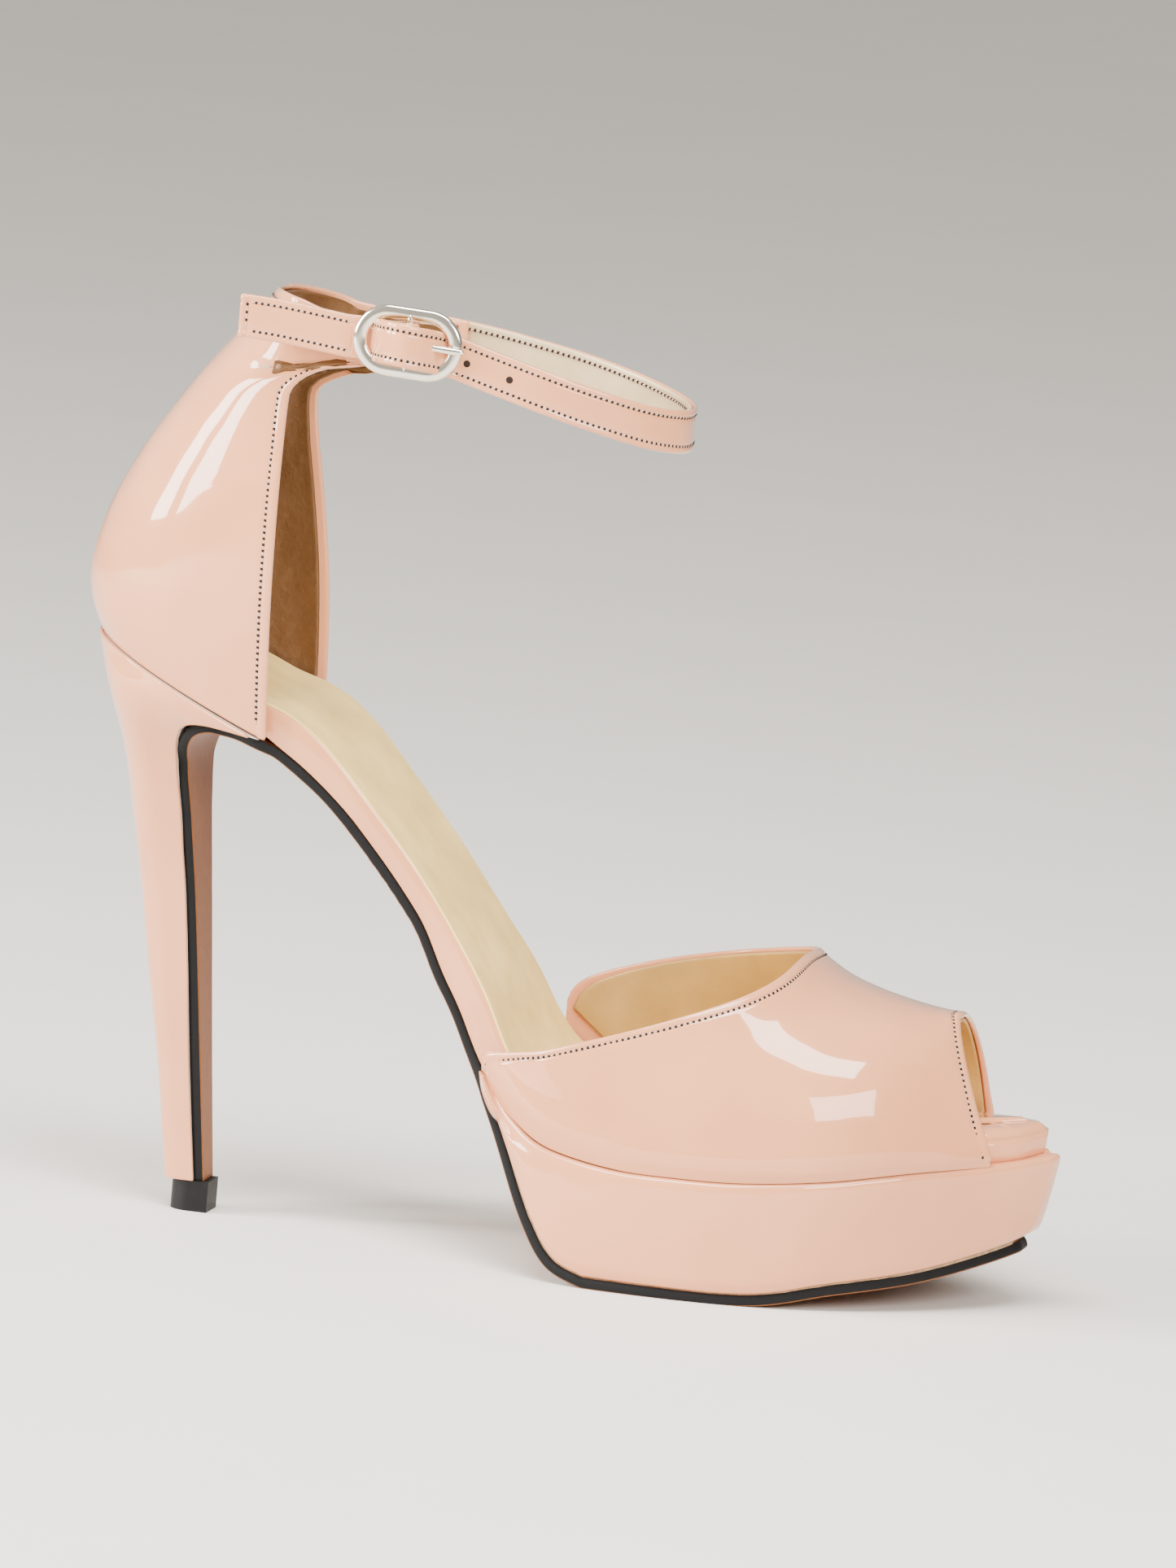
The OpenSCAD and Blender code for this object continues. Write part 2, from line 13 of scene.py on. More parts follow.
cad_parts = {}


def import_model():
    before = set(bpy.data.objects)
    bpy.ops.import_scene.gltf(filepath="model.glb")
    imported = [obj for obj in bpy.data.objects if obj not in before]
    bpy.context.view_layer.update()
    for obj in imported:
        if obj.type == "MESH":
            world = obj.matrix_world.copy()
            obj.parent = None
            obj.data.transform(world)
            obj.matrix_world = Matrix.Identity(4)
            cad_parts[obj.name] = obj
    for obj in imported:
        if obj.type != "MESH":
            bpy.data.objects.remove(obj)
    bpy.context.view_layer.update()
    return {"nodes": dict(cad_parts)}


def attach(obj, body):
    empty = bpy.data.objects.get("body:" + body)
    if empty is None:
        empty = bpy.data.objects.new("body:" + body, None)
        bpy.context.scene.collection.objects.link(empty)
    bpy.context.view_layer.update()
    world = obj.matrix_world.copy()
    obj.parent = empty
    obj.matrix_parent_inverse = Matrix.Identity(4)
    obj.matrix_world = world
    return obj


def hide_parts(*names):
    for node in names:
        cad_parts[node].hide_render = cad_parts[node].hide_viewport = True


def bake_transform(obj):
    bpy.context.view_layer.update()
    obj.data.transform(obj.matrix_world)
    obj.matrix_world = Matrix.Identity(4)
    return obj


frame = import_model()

MM = 0.001
LEATHER = 1.1         # thickness of the patent leather
LINING = 0.8          # and of the lining
STRAP_FACE = 0.95     # the strap's outer face, from its middle surface
HEEL_UNIT_T = 5.2     # thickness of the insole unit at the heel seat
OUTSOLE_T = 2.3
STRAP_H = 8.0         # height of the strap
SOCK_END = 158.0      # the sock stops here, under the front of the vamp
SEAM_IN = 1.7         # distance of a stitch row from its edge on the upper
STRAP_SEAM_IN = 1.0   # and on the strap
LEAN = 0.2            # the platform's walls lean forward this much as they rise
LEAN_Z = 32           # height at which the lean is zero


# ---- outlines, as in the CAD part ------------------------------------------------

def curve_at(points, t):
    """Catmull-Rom curve through the points, t from 0 to 1."""
    m = len(points) - 1
    s = min(m - 1, int(t * m))
    f = t * m - s
    a, b, c, d = (points[i] for i in (max(0, s - 1), s, s + 1, min(m, s + 2)))
    return 0.5 * (2 * b + (c - a) * f + (2 * a - 5 * b + 4 * c - d) * f * f
                  + (3 * b - a - 3 * c + d) * f ** 3)


def smooth(points, n):
    """The curve through the points as a polyline, n steps between each two."""
    points = np.array(points, float)
    steps = (len(points) - 1) * n
    return np.array([curve_at(points, i / steps) for i in range(steps + 1)])


def along(path):
    """Unit directions along a polyline."""
    d = np.gradient(path, axis=0)
    return d / np.maximum(np.linalg.norm(d, axis=-1, keepdims=True), 1e-9)


def lift(line, d):
    """A line moved to its left, up and away from the ground, by a distance or one per point."""
    t = along(line)
    return line + np.stack([-t[:, 1], t[:, 0]], 1) * np.reshape(d, (-1, 1))


def height_at(line, x):
    """Second coordinate of a polyline where its first is x."""
    order = np.argsort(line[:, 0])
    return np.interp(x, line[order, 0], line[order, 1])


def ease(a, b, x):
    """Smooth step from 0 at a to 1 at b."""
    t = np.clip((np.asarray(x, float) - a) / (b - a), 0, 1)
    return t * t * (3 - 2 * t)


def evenly(path, n):
    """n points at equal spacing along a polyline."""
    step = np.r_[0, np.cumsum(np.linalg.norm(np.diff(path, axis=0), axis=1))]
    at = np.linspace(0, step[-1], n)
    return np.stack([np.interp(at, step, path[:, k]) for k in range(path.shape[1])], 1)


SEAT = smooth([[-28.4, 120.6], [-16, 116.2], [-2, 111], [8, 106.4], [14, 102.9], [21, 97.6],
               [31, 86.8], [41.6, 74.7], [51.8, 61.6], [57.9, 53], [63.3, 43.2], [68, 36.6],
               [74, 31.6], [82, 27.7], [96.8, 25.4], [110, 25.2], [124, 25.6], [141, 27.3],
               [157, 29.7], [172, 31.3], [183, 32.9]], 12)
UNDER = smooth([[3, 6.7], [0.4, 33], [-2.6, 64], [-4.8, 84], [-5.8, 95], [-4.6, 100.3],
                [-1.2, 102.6], [3, 102.4], [8, 101.6], [14.2, 99.6], [20.9, 95.4], [26.4, 91],
                [32.2, 85.1], [38, 78.4], [44, 70.4], [50.2, 60.4], [56.4, 50.4], [61.4, 41.4],
                [68.7, 29.6], [77.4, 12.3], [83.9, 3.4], [92, 0]], 12)
SPRING = smooth([[92, 0], [125, 0], [142.7, 3.3], [158.9, 6.3], [173, 10.8], [178.8, 13.4],
                 [183, 15.6]], 12)
GROUND = np.concatenate([UNDER, SPRING[SPRING[:, 0] > 120]])
PLAT_LAT = smooth([[58, 25.6], [64, 28.6], [72, 32.9], [82, 37.1], [95, 39.8], [110, 40.8],
                   [125, 39.8], [140, 36.3], [152, 30.4], [162, 23], [170, 15.6], [176.5, 8],
                   [181, 0.5]], 10)
PLAT_MED = smooth([[58, 25.6], [64, 28], [72, 31.2], [82, 34.8], [95, 38], [108, 39.3],
                   [122, 38.8], [137, 36.4], [150, 31.8], [161, 25.8], [170, 19], [177, 11.5],
                   [182, 3.5]], 10)
SOLE_LAT = smooth([[-24.6, 0], [-23.3, 6.7], [-19.6, 12.3], [-13.6, 16.9], [-5.8, 20.4],
                   [3.3, 22.6], [14, 23.2], [28, 22.4], [42, 21.6], [53, 22.6], [63, 25.4],
                   [69, 27.2], [75, 30.2], [81, 33], [88, 35.2], [99, 37.1], [110, 37.8],
                   [123, 37], [132, 35.1], [141, 31.8], [147, 28.2], [153, 23.5], [159, 18.5],
                   [165, 13.4], [170, 10.8], [175, 6.2], [178.6, -2]], 8)
SOLE_MED = smooth([[-24.6, 0], [-23.3, 6.7], [-19.6, 12.3], [-13.6, 16.9], [-5.8, 20.4],
                   [4, 22.5], [20, 22.8], [34, 22.2], [47, 21.4], [58, 21], [68, 24.4],
                   [75, 27.8], [81, 30.4], [90, 33.5], [99, 35.4], [108, 36.4], [118, 36.1],
                   [129, 34.6], [138, 32.2], [147, 28.2], [153, 24.7], [159, 20.9], [165, 17.2],
                   [171, 13], [176, 8], [178.8, 3]], 8)
FLAP = np.array([[3.9, 6.6], [4.9, 31], [5.8, 50], [6.8, 67], [8.6, 84], [11.2, 95], [16, 100],
                 [19, 102.5], [21, 106]])
HEEL_RINGS = np.array([[-5.4, 6.7, 0.8, 6.7, 4.1], [-8.9, 31, -1.9, 31, 5.1],
                       [-12.4, 50, -3.5, 50, 6], [-15.2, 67, -5.1, 67, 7],
                       [-18.4, 84, -7, 84, 8.8], [-20.4, 94.5, -8, 94, 11.5],
                       [-22.4, 102, -7.6, 100.5, 15], [-24.6, 109, -5, 104.1, 19.5],
                       [-26.8, 115.5, 1, 105, 23.5], [-28.4, 120.4, 12, 103.6, 26.6]])
CUP_ROWS = np.array([[-28.5, 120.7, 13, 26.8, 104.1, 13, 26.8, 104.1],
                     [-31.3, 127, 12.6, 28.4, 118, 12.3, 28.2, 118],
                     [-31.8, 135, 12.2, 29.4, 134, 11, 28.8, 133],
                     [-28.6, 147, 12, 29.4, 151, 8.8, 28.4, 148.5],
                     [-22.2, 160, 12, 28.6, 166, 6.6, 27.6, 162],
                     [-13.5, 173.5, 12.2, 27.7, 176, 6.2, 26.8, 171],
                     [-7.5, 181.5, 13.2, 27.3, 180.6, 9.5, 26.5, 175.2],
                     [-4, 186, 17.6, 27.1, 181.6, 16.5, 26.3, 175.5],
                     [-1.5, 189.2, 20.3, 26.9, 184.7, 20, 26.2, 178.6],
                     [0.5, 191.6, 20.9, 26.8, 188.3, 20.9, 26.1, 182.5],
                     [2.4, 193.6, 19.2, 26.7, 192.2, 19.2, 26, 186.6],
                     [4, 195.2, 16.2, 26.6, 194.1, 16, 26, 188.5]])
# Ears beyond the bend line: x, half width across the shoe, middle height, half height
EAR_LAT = np.array([[14, 27, 187.6, 7.5], [17, 26.9, 187.6, 6.4], [21.3, 26.9, 187.6, 5.2],
                    [27.5, 27.4, 188.5, 4.2], [30, 28, 188.8, 3.9]])
EAR_MED = np.array([[14, 26.2, 182.3, 7.4], [17, 26.2, 182.3, 7.1], [21.3, 26.2, 182.4, 5.9],
                    [28, 26.4, 183, 4.6], [37, 26.4, 184, 4.2]])
STRAP = np.array([[50.5, -29.9, 186.7], [58, -29.7, 184.6], [68, -28.2, 181.7],
                  [77.5, -24.9, 178.9], [86, -19, 176.3], [90.8, -11.5, 175], [92, -4, 174.6],
                  [90.3, 5, 174.9], [84.5, 13.5, 176], [75, 20.2, 178], [62.5, 24.6, 180.4],
                  [48, 26.9, 182.6], [39, 27.8, 183.7], [32.5, 28.1, 184.3]])
THREADED = np.array([[25.8, -29.9, 189.6], [27.3, -29.9, 189.6], [29, -30.2, 189.7],
                     [30.8, -32, 189.8], [32.6, -34.9, 189.9], [35, -37.3, 190],
                     [38, -38.4, 189.8], [41, -37.3, 189.3], [43.3, -34.9, 188.8],
                     [45, -32.3, 188.2], [46.7, -30.5, 187.7], [48.5, -29.9, 187.2],
                     [50.5, -29.9, 186.7]])
TAIL = np.array([[2.6, -32.6, 191.8], [10, -31.6, 191.3], [18, -30.6, 190.4], [24.5, -29.95, 189.6],
                 [25.4, -29.92, 189.6]])
TAB = np.array([[24.5, -27, 188], [27.5, -27.4, 188.5], [33, -28.8, 189.3], [36.2, -30.7, 189.7],
                [38.3, -31.5, 189.8], [39.6, -33.1, 189.8], [38.3, -34.7, 189.8],
                [36.4, -34.1, 189.8], [34.2, -32.1, 189.7], [31.8, -30.1, 189.3]])
BAR = np.array([38, -33.1, 189.8])
RIDGE = np.array([[126, 68.4], [133, 64.7], [140.5, 62.4], [148, 60.9], [154, 60.2], [159.2, 60]])


# The insole unit's underside, hollowed a little under the arch, and its top
BASE = lift(SEAT, 2 * ease(16, 32, SEAT[:, 0]) * (1 - ease(46, 56, SEAT[:, 0])))
TOP = lift(SEAT, HEEL_UNIT_T + 2 * ease(4, 16, SEAT[:, 0]))


# ---- mesh helpers -------------------------------------------------------------------

def make(name, verts, faces, materials, slots=None):
    """A mesh object from points in millimetres."""
    mesh = bpy.data.meshes.new(name)
    points = [tuple(v) for v in np.asarray(verts) * MM]
    mesh.from_pydata(points, [], [tuple(map(int, f)) for f in faces])
    for m in materials:
        mesh.materials.append(m)
    if slots is not None:
        mesh.polygons.foreach_set("material_index", np.asarray(slots, dtype=np.int32))
    mesh.polygons.foreach_set("use_smooth", np.ones(len(mesh.polygons), dtype=bool))
    mesh.validate()
    mesh.update()
    obj = bpy.data.objects.new(name, mesh)
    bpy.context.scene.collection.objects.link(obj)
    return obj


def spread(n, dense=0.0, low=0.0, high=1.0):
    """n + 1 values from low to high, closer together at both ends as dense goes to 1."""
    t = np.linspace(0, 1, n + 1)
    t = (1 - dense) * t + dense * (0.5 - 0.5 * np.cos(math.pi * t))
    return low + (high - low) * t


def sample(f, us, vs):
    """Grid of surface points: rows run along v, columns along u."""
    return np.array([[f(u, v) for u in us] for v in vs])


def normals(grid):
    """Unit normals of a grid of surface points."""
    du = np.gradient(grid, axis=1)
    dv = np.gradient(grid, axis=0)
    n = np.cross(du, dv)
    size = np.linalg.norm(n, axis=2, keepdims=True)
    return n / np.maximum(size, 1e-9)


def edge_distance(grid, edge):
    """Distance in mm of every grid point from one edge: u0, u1, v0 or v1."""
    axis = 1 if edge[0] == "u" else 0
    g = grid if edge[1] == "0" else np.flip(grid, axis)
    step = np.linalg.norm(np.diff(g, axis=axis), axis=2)
    d = np.cumsum(step, axis=axis)
    d = np.concatenate([np.zeros_like(np.take(d, [0], axis)), d], axis)
    return d if edge[1] == "0" else np.flip(d, axis)


PADDING = 0.14        # height of the folded margin outside the stitches
DENT = 0.20           # depth of the dent along the stitches
DENT_WIDE = 0.38
EDGE_DROP = 0.10      # the leather's edge turns down this much


def fold(grid, edges, seam):
    """Height of the folded, stitched margin: a padded edge and the dent the thread pulls in."""
    h = np.zeros(grid.shape[:2])
    for e in edges:
        d = edge_distance(grid, e)
        h += PADDING * (1 - ease(seam * 0.6, seam, d)) - DENT * np.exp(-((d - seam) / DENT_WIDE) ** 2)
        h -= EDGE_DROP * (1 - ease(0.0, 0.6, d))
    return h


def sheet(name, grid, low, high, materials, edges=(), seam=SEAM_IN, round_edge=1.0,
          rim_slots=(0,) * 5, extra=None):
    """A closed sheet along a surface grid, from low to high mm along its normals, with a round rim."""
    rows, cols = grid.shape[:2]
    n = normals(grid)
    top = high + fold(grid, edges, seam)
    if extra is not None:
        top = top + extra
    upper = grid + n * top[..., None]
    lower = grid + n * (low if np.ndim(low) == 0 else np.broadcast_to(low, (rows, cols))[..., None])
    idx = np.arange(rows * cols).reshape(rows, cols)
    a, b, c, d = idx[:-1, :-1], idx[:-1, 1:], idx[1:, 1:], idx[1:, :-1]
    faces = [np.stack([a, b, c, d], -1).reshape(-1, 4)]
    faces.append(np.stack([a, d, c, b], -1).reshape(-1, 4) + rows * cols)
    loop = [(0, i) for i in range(cols - 1)] + [(j, cols - 1) for j in range(rows - 1)]
    loop += [(rows - 1, i) for i in range(cols - 1, 0, -1)] + [(j, 0) for j in range(rows - 1, 0, -1)]
    jj, ii = np.array(loop).T
    out = np.zeros((len(loop), 3))
    for k, (j, i) in enumerate(loop):
        for there, inner in ((j == 0, (1, i)), (j == rows - 1, (rows - 2, i)),
                             (i == 0, (j, 1)), (i == cols - 1, (j, cols - 2))):
            if there:
                v = grid[j, i] - grid[inner]
                out[k] += v / max(np.linalg.norm(v), 1e-9)
    out /= np.maximum(np.linalg.norm(out, axis=1, keepdims=True), 1e-9)
    up, dn = upper[jj, ii], lower[jj, ii]
    half = np.linalg.norm(up - dn, axis=1, keepdims=True) / 2
    rings = []
    for angle in (36, 72, 108, 144):
        t = math.radians(angle)
        rings.append((up + dn) / 2 + (up - dn) / 2 * math.cos(t) + out * half * math.sin(t) * round_edge)
    verts = np.concatenate([upper.reshape(-1, 3), lower.reshape(-1, 3)] + rings)
    base = 2 * rows * cols
    m = len(loop)
    chain = [idx[jj, ii]] + [base + k * m + np.arange(m) for k in range(4)] + [idx[jj, ii] + rows * cols]
    rim = []
    for p, q in zip(chain[:-1], chain[1:]):
        rim.append(np.stack([p, q, np.roll(q, -1), np.roll(p, -1)], -1))
    rim = np.concatenate(rim)
    slots = np.concatenate([np.zeros(sum(len(f) for f in faces)), np.repeat(rim_slots, m)])
    return make(name, verts, np.concatenate(faces + [rim]), materials, slots)


def sweep(name, rings, materials, close_path=False, caps=True):
    """A mesh through rings of points, each ring closed."""
    rings = np.asarray(rings)
    n, m = rings.shape[:2]
    faces = []
    for i in range(n if close_path else n - 1):
        for k in range(m):
            a, b = i * m + k, i * m + (k + 1) % m
            c, d = ((i + 1) % n) * m + (k + 1) % m, ((i + 1) % n) * m + k
            faces.append((a, b, c, d))
    verts = rings.reshape(-1, 3)
    if caps and not close_path:
        verts = np.concatenate([verts, [rings[0].mean(0)], [rings[-1].mean(0)]])
        for k in range(m):
            faces.append((n * m, (k + 1) % m, k, k))
            faces.append((n * m + 1, (n - 1) * m + k, (n - 1) * m + (k + 1) % m, (n - 1) * m + k))
        faces = [f[:3] if f[2] == f[3] or f[3] == f[1] else f for f in faces]
    return make(name, verts, faces, materials)


def join(name, parts):
    """Join several objects into the first and rename it."""
    bpy.ops.object.select_all(action="DESELECT")
    for p in parts:
        p.select_set(True)
    bpy.context.view_layer.objects.active = parts[0]
    bpy.ops.object.join()
    parts[0].name = name
    parts[0].data.name = name
    return parts[0]


# ---- materials ------------------------------------------------------------------------

def shader(name):
    """A new material with its node tree, shader and object coordinates."""
    m = bpy.data.materials.new(name)
    m.use_nodes = True
    tree = m.node_tree
    bsdf = tree.nodes["Principled BSDF"]
    where = tree.nodes.new("ShaderNodeTexCoord")
    return m, tree, bsdf, where.outputs["Object"]


def noise(tree, where, per_m, detail=3.0, stretch=(1, 1, 1)):
    """Cloudy noise of so many spots per metre."""
    mapping = tree.nodes.new("ShaderNodeMapping")
    mapping.inputs["Scale"].default_value = [per_m * s for s in stretch]
    tex = tree.nodes.new("ShaderNodeTexNoise")
    tex.inputs["Scale"].default_value = 1.0
    tex.inputs["Detail"].default_value = detail
    tree.links.new(where, mapping.inputs["Vector"])
    tree.links.new(mapping.outputs["Vector"], tex.inputs["Vector"])
    return tex.outputs["Fac"]


def cells(tree, where, per_m):
    """Leather grain: distance to the edges of random cells, so many per metre."""
    mapping = tree.nodes.new("ShaderNodeMapping")
    mapping.inputs["Scale"].default_value = [per_m] * 3
    tex = tree.nodes.new("ShaderNodeTexVoronoi")
    tex.inputs["Scale"].default_value = 1.0
    tex.feature = "DISTANCE_TO_EDGE"
    tree.links.new(where, mapping.inputs["Vector"])
    tree.links.new(mapping.outputs["Vector"], tex.inputs["Vector"])
    return tex.outputs["Distance"]


def ramp(tree, value, stops):
    """Colour from a value; stops are (position, colour)."""
    node = tree.nodes.new("ShaderNodeValToRGB")
    e = node.color_ramp.elements
    while len(e) < len(stops):
        e.new(0.5)
    for el, (at, rgb) in zip(e, stops):
        el.position = at
        el.color = (*rgb, 1)
    tree.links.new(value, node.inputs["Fac"])
    return node.outputs["Color"]


def span(tree, value, low, high):
    """A value from 0..1 mapped to low..high."""
    node = tree.nodes.new("ShaderNodeMapRange")
    node.inputs["To Min"].default_value = low
    node.inputs["To Max"].default_value = high
    tree.links.new(value, node.inputs["Value"])
    return node.outputs["Result"]


def bump(tree, bsdf, layers):
    """Layers of (value, strength, distance in mm), each on top of the last."""
    last = None
    for value, strength, mm in layers:
        node = tree.nodes.new("ShaderNodeBump")
        node.inputs["Strength"].default_value = strength
        node.inputs["Distance"].default_value = mm * MM
        tree.links.new(value, node.inputs["Height"])
        if last:
            tree.links.new(last, node.inputs["Normal"])
        last = node.outputs["Normal"]
    tree.links.new(last, bsdf.inputs["Normal"])
    return last


def patent_leather(name, tone):
    """Coloured leather under a clear glossy coat."""
    m, tree, bsdf, where = shader(name)
    cloud = noise(tree, where, 35, 2)
    deep = tuple(c * k for c, k in zip(tone, (0.93, 0.90, 0.88)))
    tree.links.new(ramp(tree, cloud, [(0.35, deep), (0.65, tone)]), bsdf.inputs["Base Color"])
    tree.links.new(span(tree, noise(tree, where, 400, 3), 0.10, 0.17), bsdf.inputs["Roughness"])
    bsdf.inputs["Specular IOR Level"].default_value = 0.15
    bsdf.inputs["Coat Weight"].default_value = 1.0
    bsdf.inputs["Coat Roughness"].default_value = 0.025
    bsdf.inputs["Coat IOR"].default_value = 1.55
    bsdf.inputs["Subsurface Weight"].default_value = 0.06
    bsdf.inputs["Subsurface Radius"].default_value = (0.002, 0.001, 0.0008)
    last = bump(tree, bsdf, [(noise(tree, where, 55, 1), 0.45, 1.0),
                             (noise(tree, where, 900, 2), 0.05, 0.05)])
    tree.links.new(last, bsdf.inputs["Coat Normal"])
    return m


def gold_leather(name, tone, grain=1500, crease=0.5, metal=0.35, rough=0.34):
    """Soft lining leather with a metallic sheen, fine grain and creases."""
    m, tree, bsdf, where = shader(name)
    deep = tuple(c * k for c, k in zip(tone, (0.80, 0.76, 0.68)))
    mottle = noise(tree, where, 90, 5)
    tree.links.new(ramp(tree, mottle, [(0.3, deep), (0.7, tone)]), bsdf.inputs["Base Color"])
    bsdf.inputs["Metallic"].default_value = metal
    tree.links.new(span(tree, noise(tree, where, 700, 3), rough, rough + 0.16), bsdf.inputs["Roughness"])
    bump(tree, bsdf, [(noise(tree, where, 160, 4), crease, 0.5),
                      (cells(tree, where, grain), 0.25, 0.12)])
    return m


def metal_finish(name, tone, rough):
    """Polished metal with faint brushing."""
    m, tree, bsdf, where = shader(name)
    dull = tuple(c * 0.9 for c in tone)
    mottle = noise(tree, where, 300, 4)
    tree.links.new(ramp(tree, mottle, [(0.3, dull), (0.7, tone)]), bsdf.inputs["Base Color"])
    bsdf.inputs["Metallic"].default_value = 1.0
    brushed = noise(tree, where, 2500, 4, (1, 1, 6))
    tree.links.new(span(tree, brushed, rough, rough + 0.1), bsdf.inputs["Roughness"])
    bump(tree, bsdf, [(noise(tree, where, 4000, 2, (1, 1, 8)), 0.04, 0.02)])
    return m


def plain(name, tone, rough, per_m, depth, vary=0.85, detail=4.0, grainy=False):
    """A matt material with colour variation and a bumpy surface."""
    m, tree, bsdf, where = shader(name)
    bsdf.inputs["Specular IOR Level"].default_value = 0.2
    deep = tuple(c * vary for c in tone)
    mottle = noise(tree, where, per_m, detail)
    tree.links.new(ramp(tree, mottle, [(0.3, deep), (0.7, tone)]), bsdf.inputs["Base Color"])
    sheen = noise(tree, where, per_m * 2, 2)
    tree.links.new(span(tree, sheen, rough - 0.06, rough + 0.06), bsdf.inputs["Roughness"])
    fine = cells(tree, where, per_m * 1.5) if grainy else noise(tree, where, per_m * 3, detail)
    bump(tree, bsdf, [(fine, 0.4, depth)])
    return m


NUDE = (0.78, 0.325, 0.155)
PATENT = patent_leather("patent_leather", NUDE)
# Painted shade: the vamp lining is a darker copy of the gold lining leather, whose lighter copy is on the
# strap, for the shade inside the throat
GOLD = gold_leather("gold_leather", (0.58, 0.36, 0.11))
SOCK = gold_leather("sock_leather", (0.99, 0.70, 0.24), 1300, 0.35, 0.05, 0.5)
# Painted shade: the cup lining is the gold lining leather darkened nearly to brown for the shade inside
# the heel cup; its creases are bumps
CUP_LINING_SHADE = gold_leather("shaded_creased_gold", (0.16, 0.07, 0.02), 1500, 1.0, 0.4)
BAND = gold_leather("pale_gold_leather", (0.82, 0.62, 0.36))
METAL = metal_finish("pale_gold_metal", (0.90, 0.84, 0.72), 0.08)
STEEL = metal_finish("steel", (0.62, 0.62, 0.64), 0.25)
EDGE = plain("black_edge", (0.005, 0.005, 0.005), 0.7, 900, 0.05)
# Painted shade: the tan sole leather is darkened to a deep brown for the shade on the heel's breast
SOLE = plain("sole_leather", (0.24, 0.085, 0.025), 0.5, 500, 0.08, 0.8)
TIP = plain("heel_tip_rubber", (0.006, 0.006, 0.006), 0.5, 800, 0.06)
CORK = plain("cork", (0.45, 0.29, 0.16), 0.8, 700, 0.3, 0.5, 6, True)
BOARD = plain("fibre_board", (0.52, 0.38, 0.24), 0.8, 900, 0.1)
FOAM = plain("foam", (0.80, 0.76, 0.66), 0.9, 1500, 0.2, 0.9, 3, True)
PLASTIC = plain("heel_plastic", (0.70, 0.66, 0.58), 0.5, 300, 0.05, 0.93)
THREAD = plain("thread", (0.72, 0.50, 0.38), 0.6, 4000, 0.08, 0.75)
# Painted shade: near-black colour for the inside of needle holes and punched holes
HOLE_SHADE = plain("painted_hole_shade", (0.025, 0.014, 0.01), 0.9, 2000, 0.05)


# ---- stitches ---------------------------------------------------------------------------

def bead(n_around, profile):
    """Rings of a long rounded bead along X; profile is (x, radius) pairs."""
    turns = [2 * math.pi * k / n_around for k in range(n_around)]
    return np.array([[[x, r * math.cos(a), r * math.sin(a)] for a in turns] for x, r in profile])


def stitches(name, line, normal, body, pitch=1.25, tilt=0.16):
    """Thread stitches along a polyline on a surface, with a needle hole between each two coloured dark as
    painted shade.
    """
    step = np.r_[0, np.cumsum(np.linalg.norm(np.diff(line, axis=0), axis=1))]
    count = max(2, int(step[-1] / pitch))
    at = (np.arange(count) + 0.5) * step[-1] / count
    pitch = step[-1] / count
    pos = np.stack([np.interp(at, step, line[:, k]) for k in range(3)], 1)
    nrm = np.stack([np.interp(at, step, normal[:, k]) for k in range(3)], 1)
    nrm /= np.linalg.norm(nrm, axis=1, keepdims=True)
    t = along(pos)
    side = np.cross(nrm, t)
    half = pitch * 0.40
    thread = bead(6, [(-half, 0.05), (-half * 0.8, 0.16), (0, 0.2), (half * 0.8, 0.16), (half, 0.05)])
    hole = bead(6, [(-0.34, 0.06), (-0.22, 0.33), (0.22, 0.33), (0.34, 0.06)])
    verts, faces, slots = [], [], []

    def add(rings, centre, tt, ss, nn, squash, slot):
        base = sum(len(v) for v in verts)
        p = rings.reshape(-1, 3)
        verts.append(centre + p[:, :1] * tt + p[:, 1:2] * ss + p[:, 2:] * nn * squash)
        n, m = rings.shape[:2]
        for i in range(n - 1):
            for k in range(m):
                faces.append((base + i * m + k, base + i * m + (k + 1) % m,
                              base + (i + 1) * m + (k + 1) % m, base + (i + 1) * m + k))
                slots.append(slot)
        faces.append(tuple(base + k for k in reversed(range(m))))
        faces.append(tuple(base + (n - 1) * m + k for k in range(m)))
        slots.extend((slot, slot))

    for i in range(count):
        lean = t[i] + side[i] * tilt
        lean /= np.linalg.norm(lean)
        add(thread, pos[i] + nrm[i] * 0.02, lean, np.cross(nrm[i], lean), nrm[i], 0.8, 0)
        add(hole, pos[i] + t[i] * pitch / 2 + nrm[i] * 0.02, t[i], side[i], nrm[i], 0.6, 1)
    obj = make(name, np.concatenate(verts), faces, [THREAD, HOLE_SHADE], slots)
    place(obj, body)
    return obj


def place(obj, body):
    """Ride on a body, or, for the ears, stay in place with the transform baked into the mesh."""
    if body == "ears":
        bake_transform(obj)
    else:
        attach(obj, body)


def row_line(grid, edge, inset, high=0.0, extra_edges=()):
    """Polyline on the upper surface at a distance from one edge, with its normals."""
    n = normals(grid)
    surface = grid + n * (high + fold(grid, (edge,) + tuple(extra_edges), inset))[..., None]
    d = edge_distance(grid, edge)
    if edge[0] == "v":
        surface, n, d = (np.swapaxes(a, 0, 1) for a in (surface, n, d))
    points, dirs = [], []
    for s, nn, dd in zip(surface, n, d):
        order = np.argsort(dd)
        points.append([np.interp(inset, dd[order], s[order, k]) for k in range(3)])
        dirs.append([np.interp(inset, dd[order], nn[order, k]) for k in range(3)])
    return np.array(points), np.array(dirs)


def trim(line, normal, start, end):
    """Cut start and end mm off a polyline."""
    step = np.r_[0, np.cumsum(np.linalg.norm(np.diff(line, axis=0), axis=1))]
    keep = (step >= start) & (step <= step[-1] - end)
    return line[keep], normal[keep]


# ---- upper ------------------------------------------------------------------------------

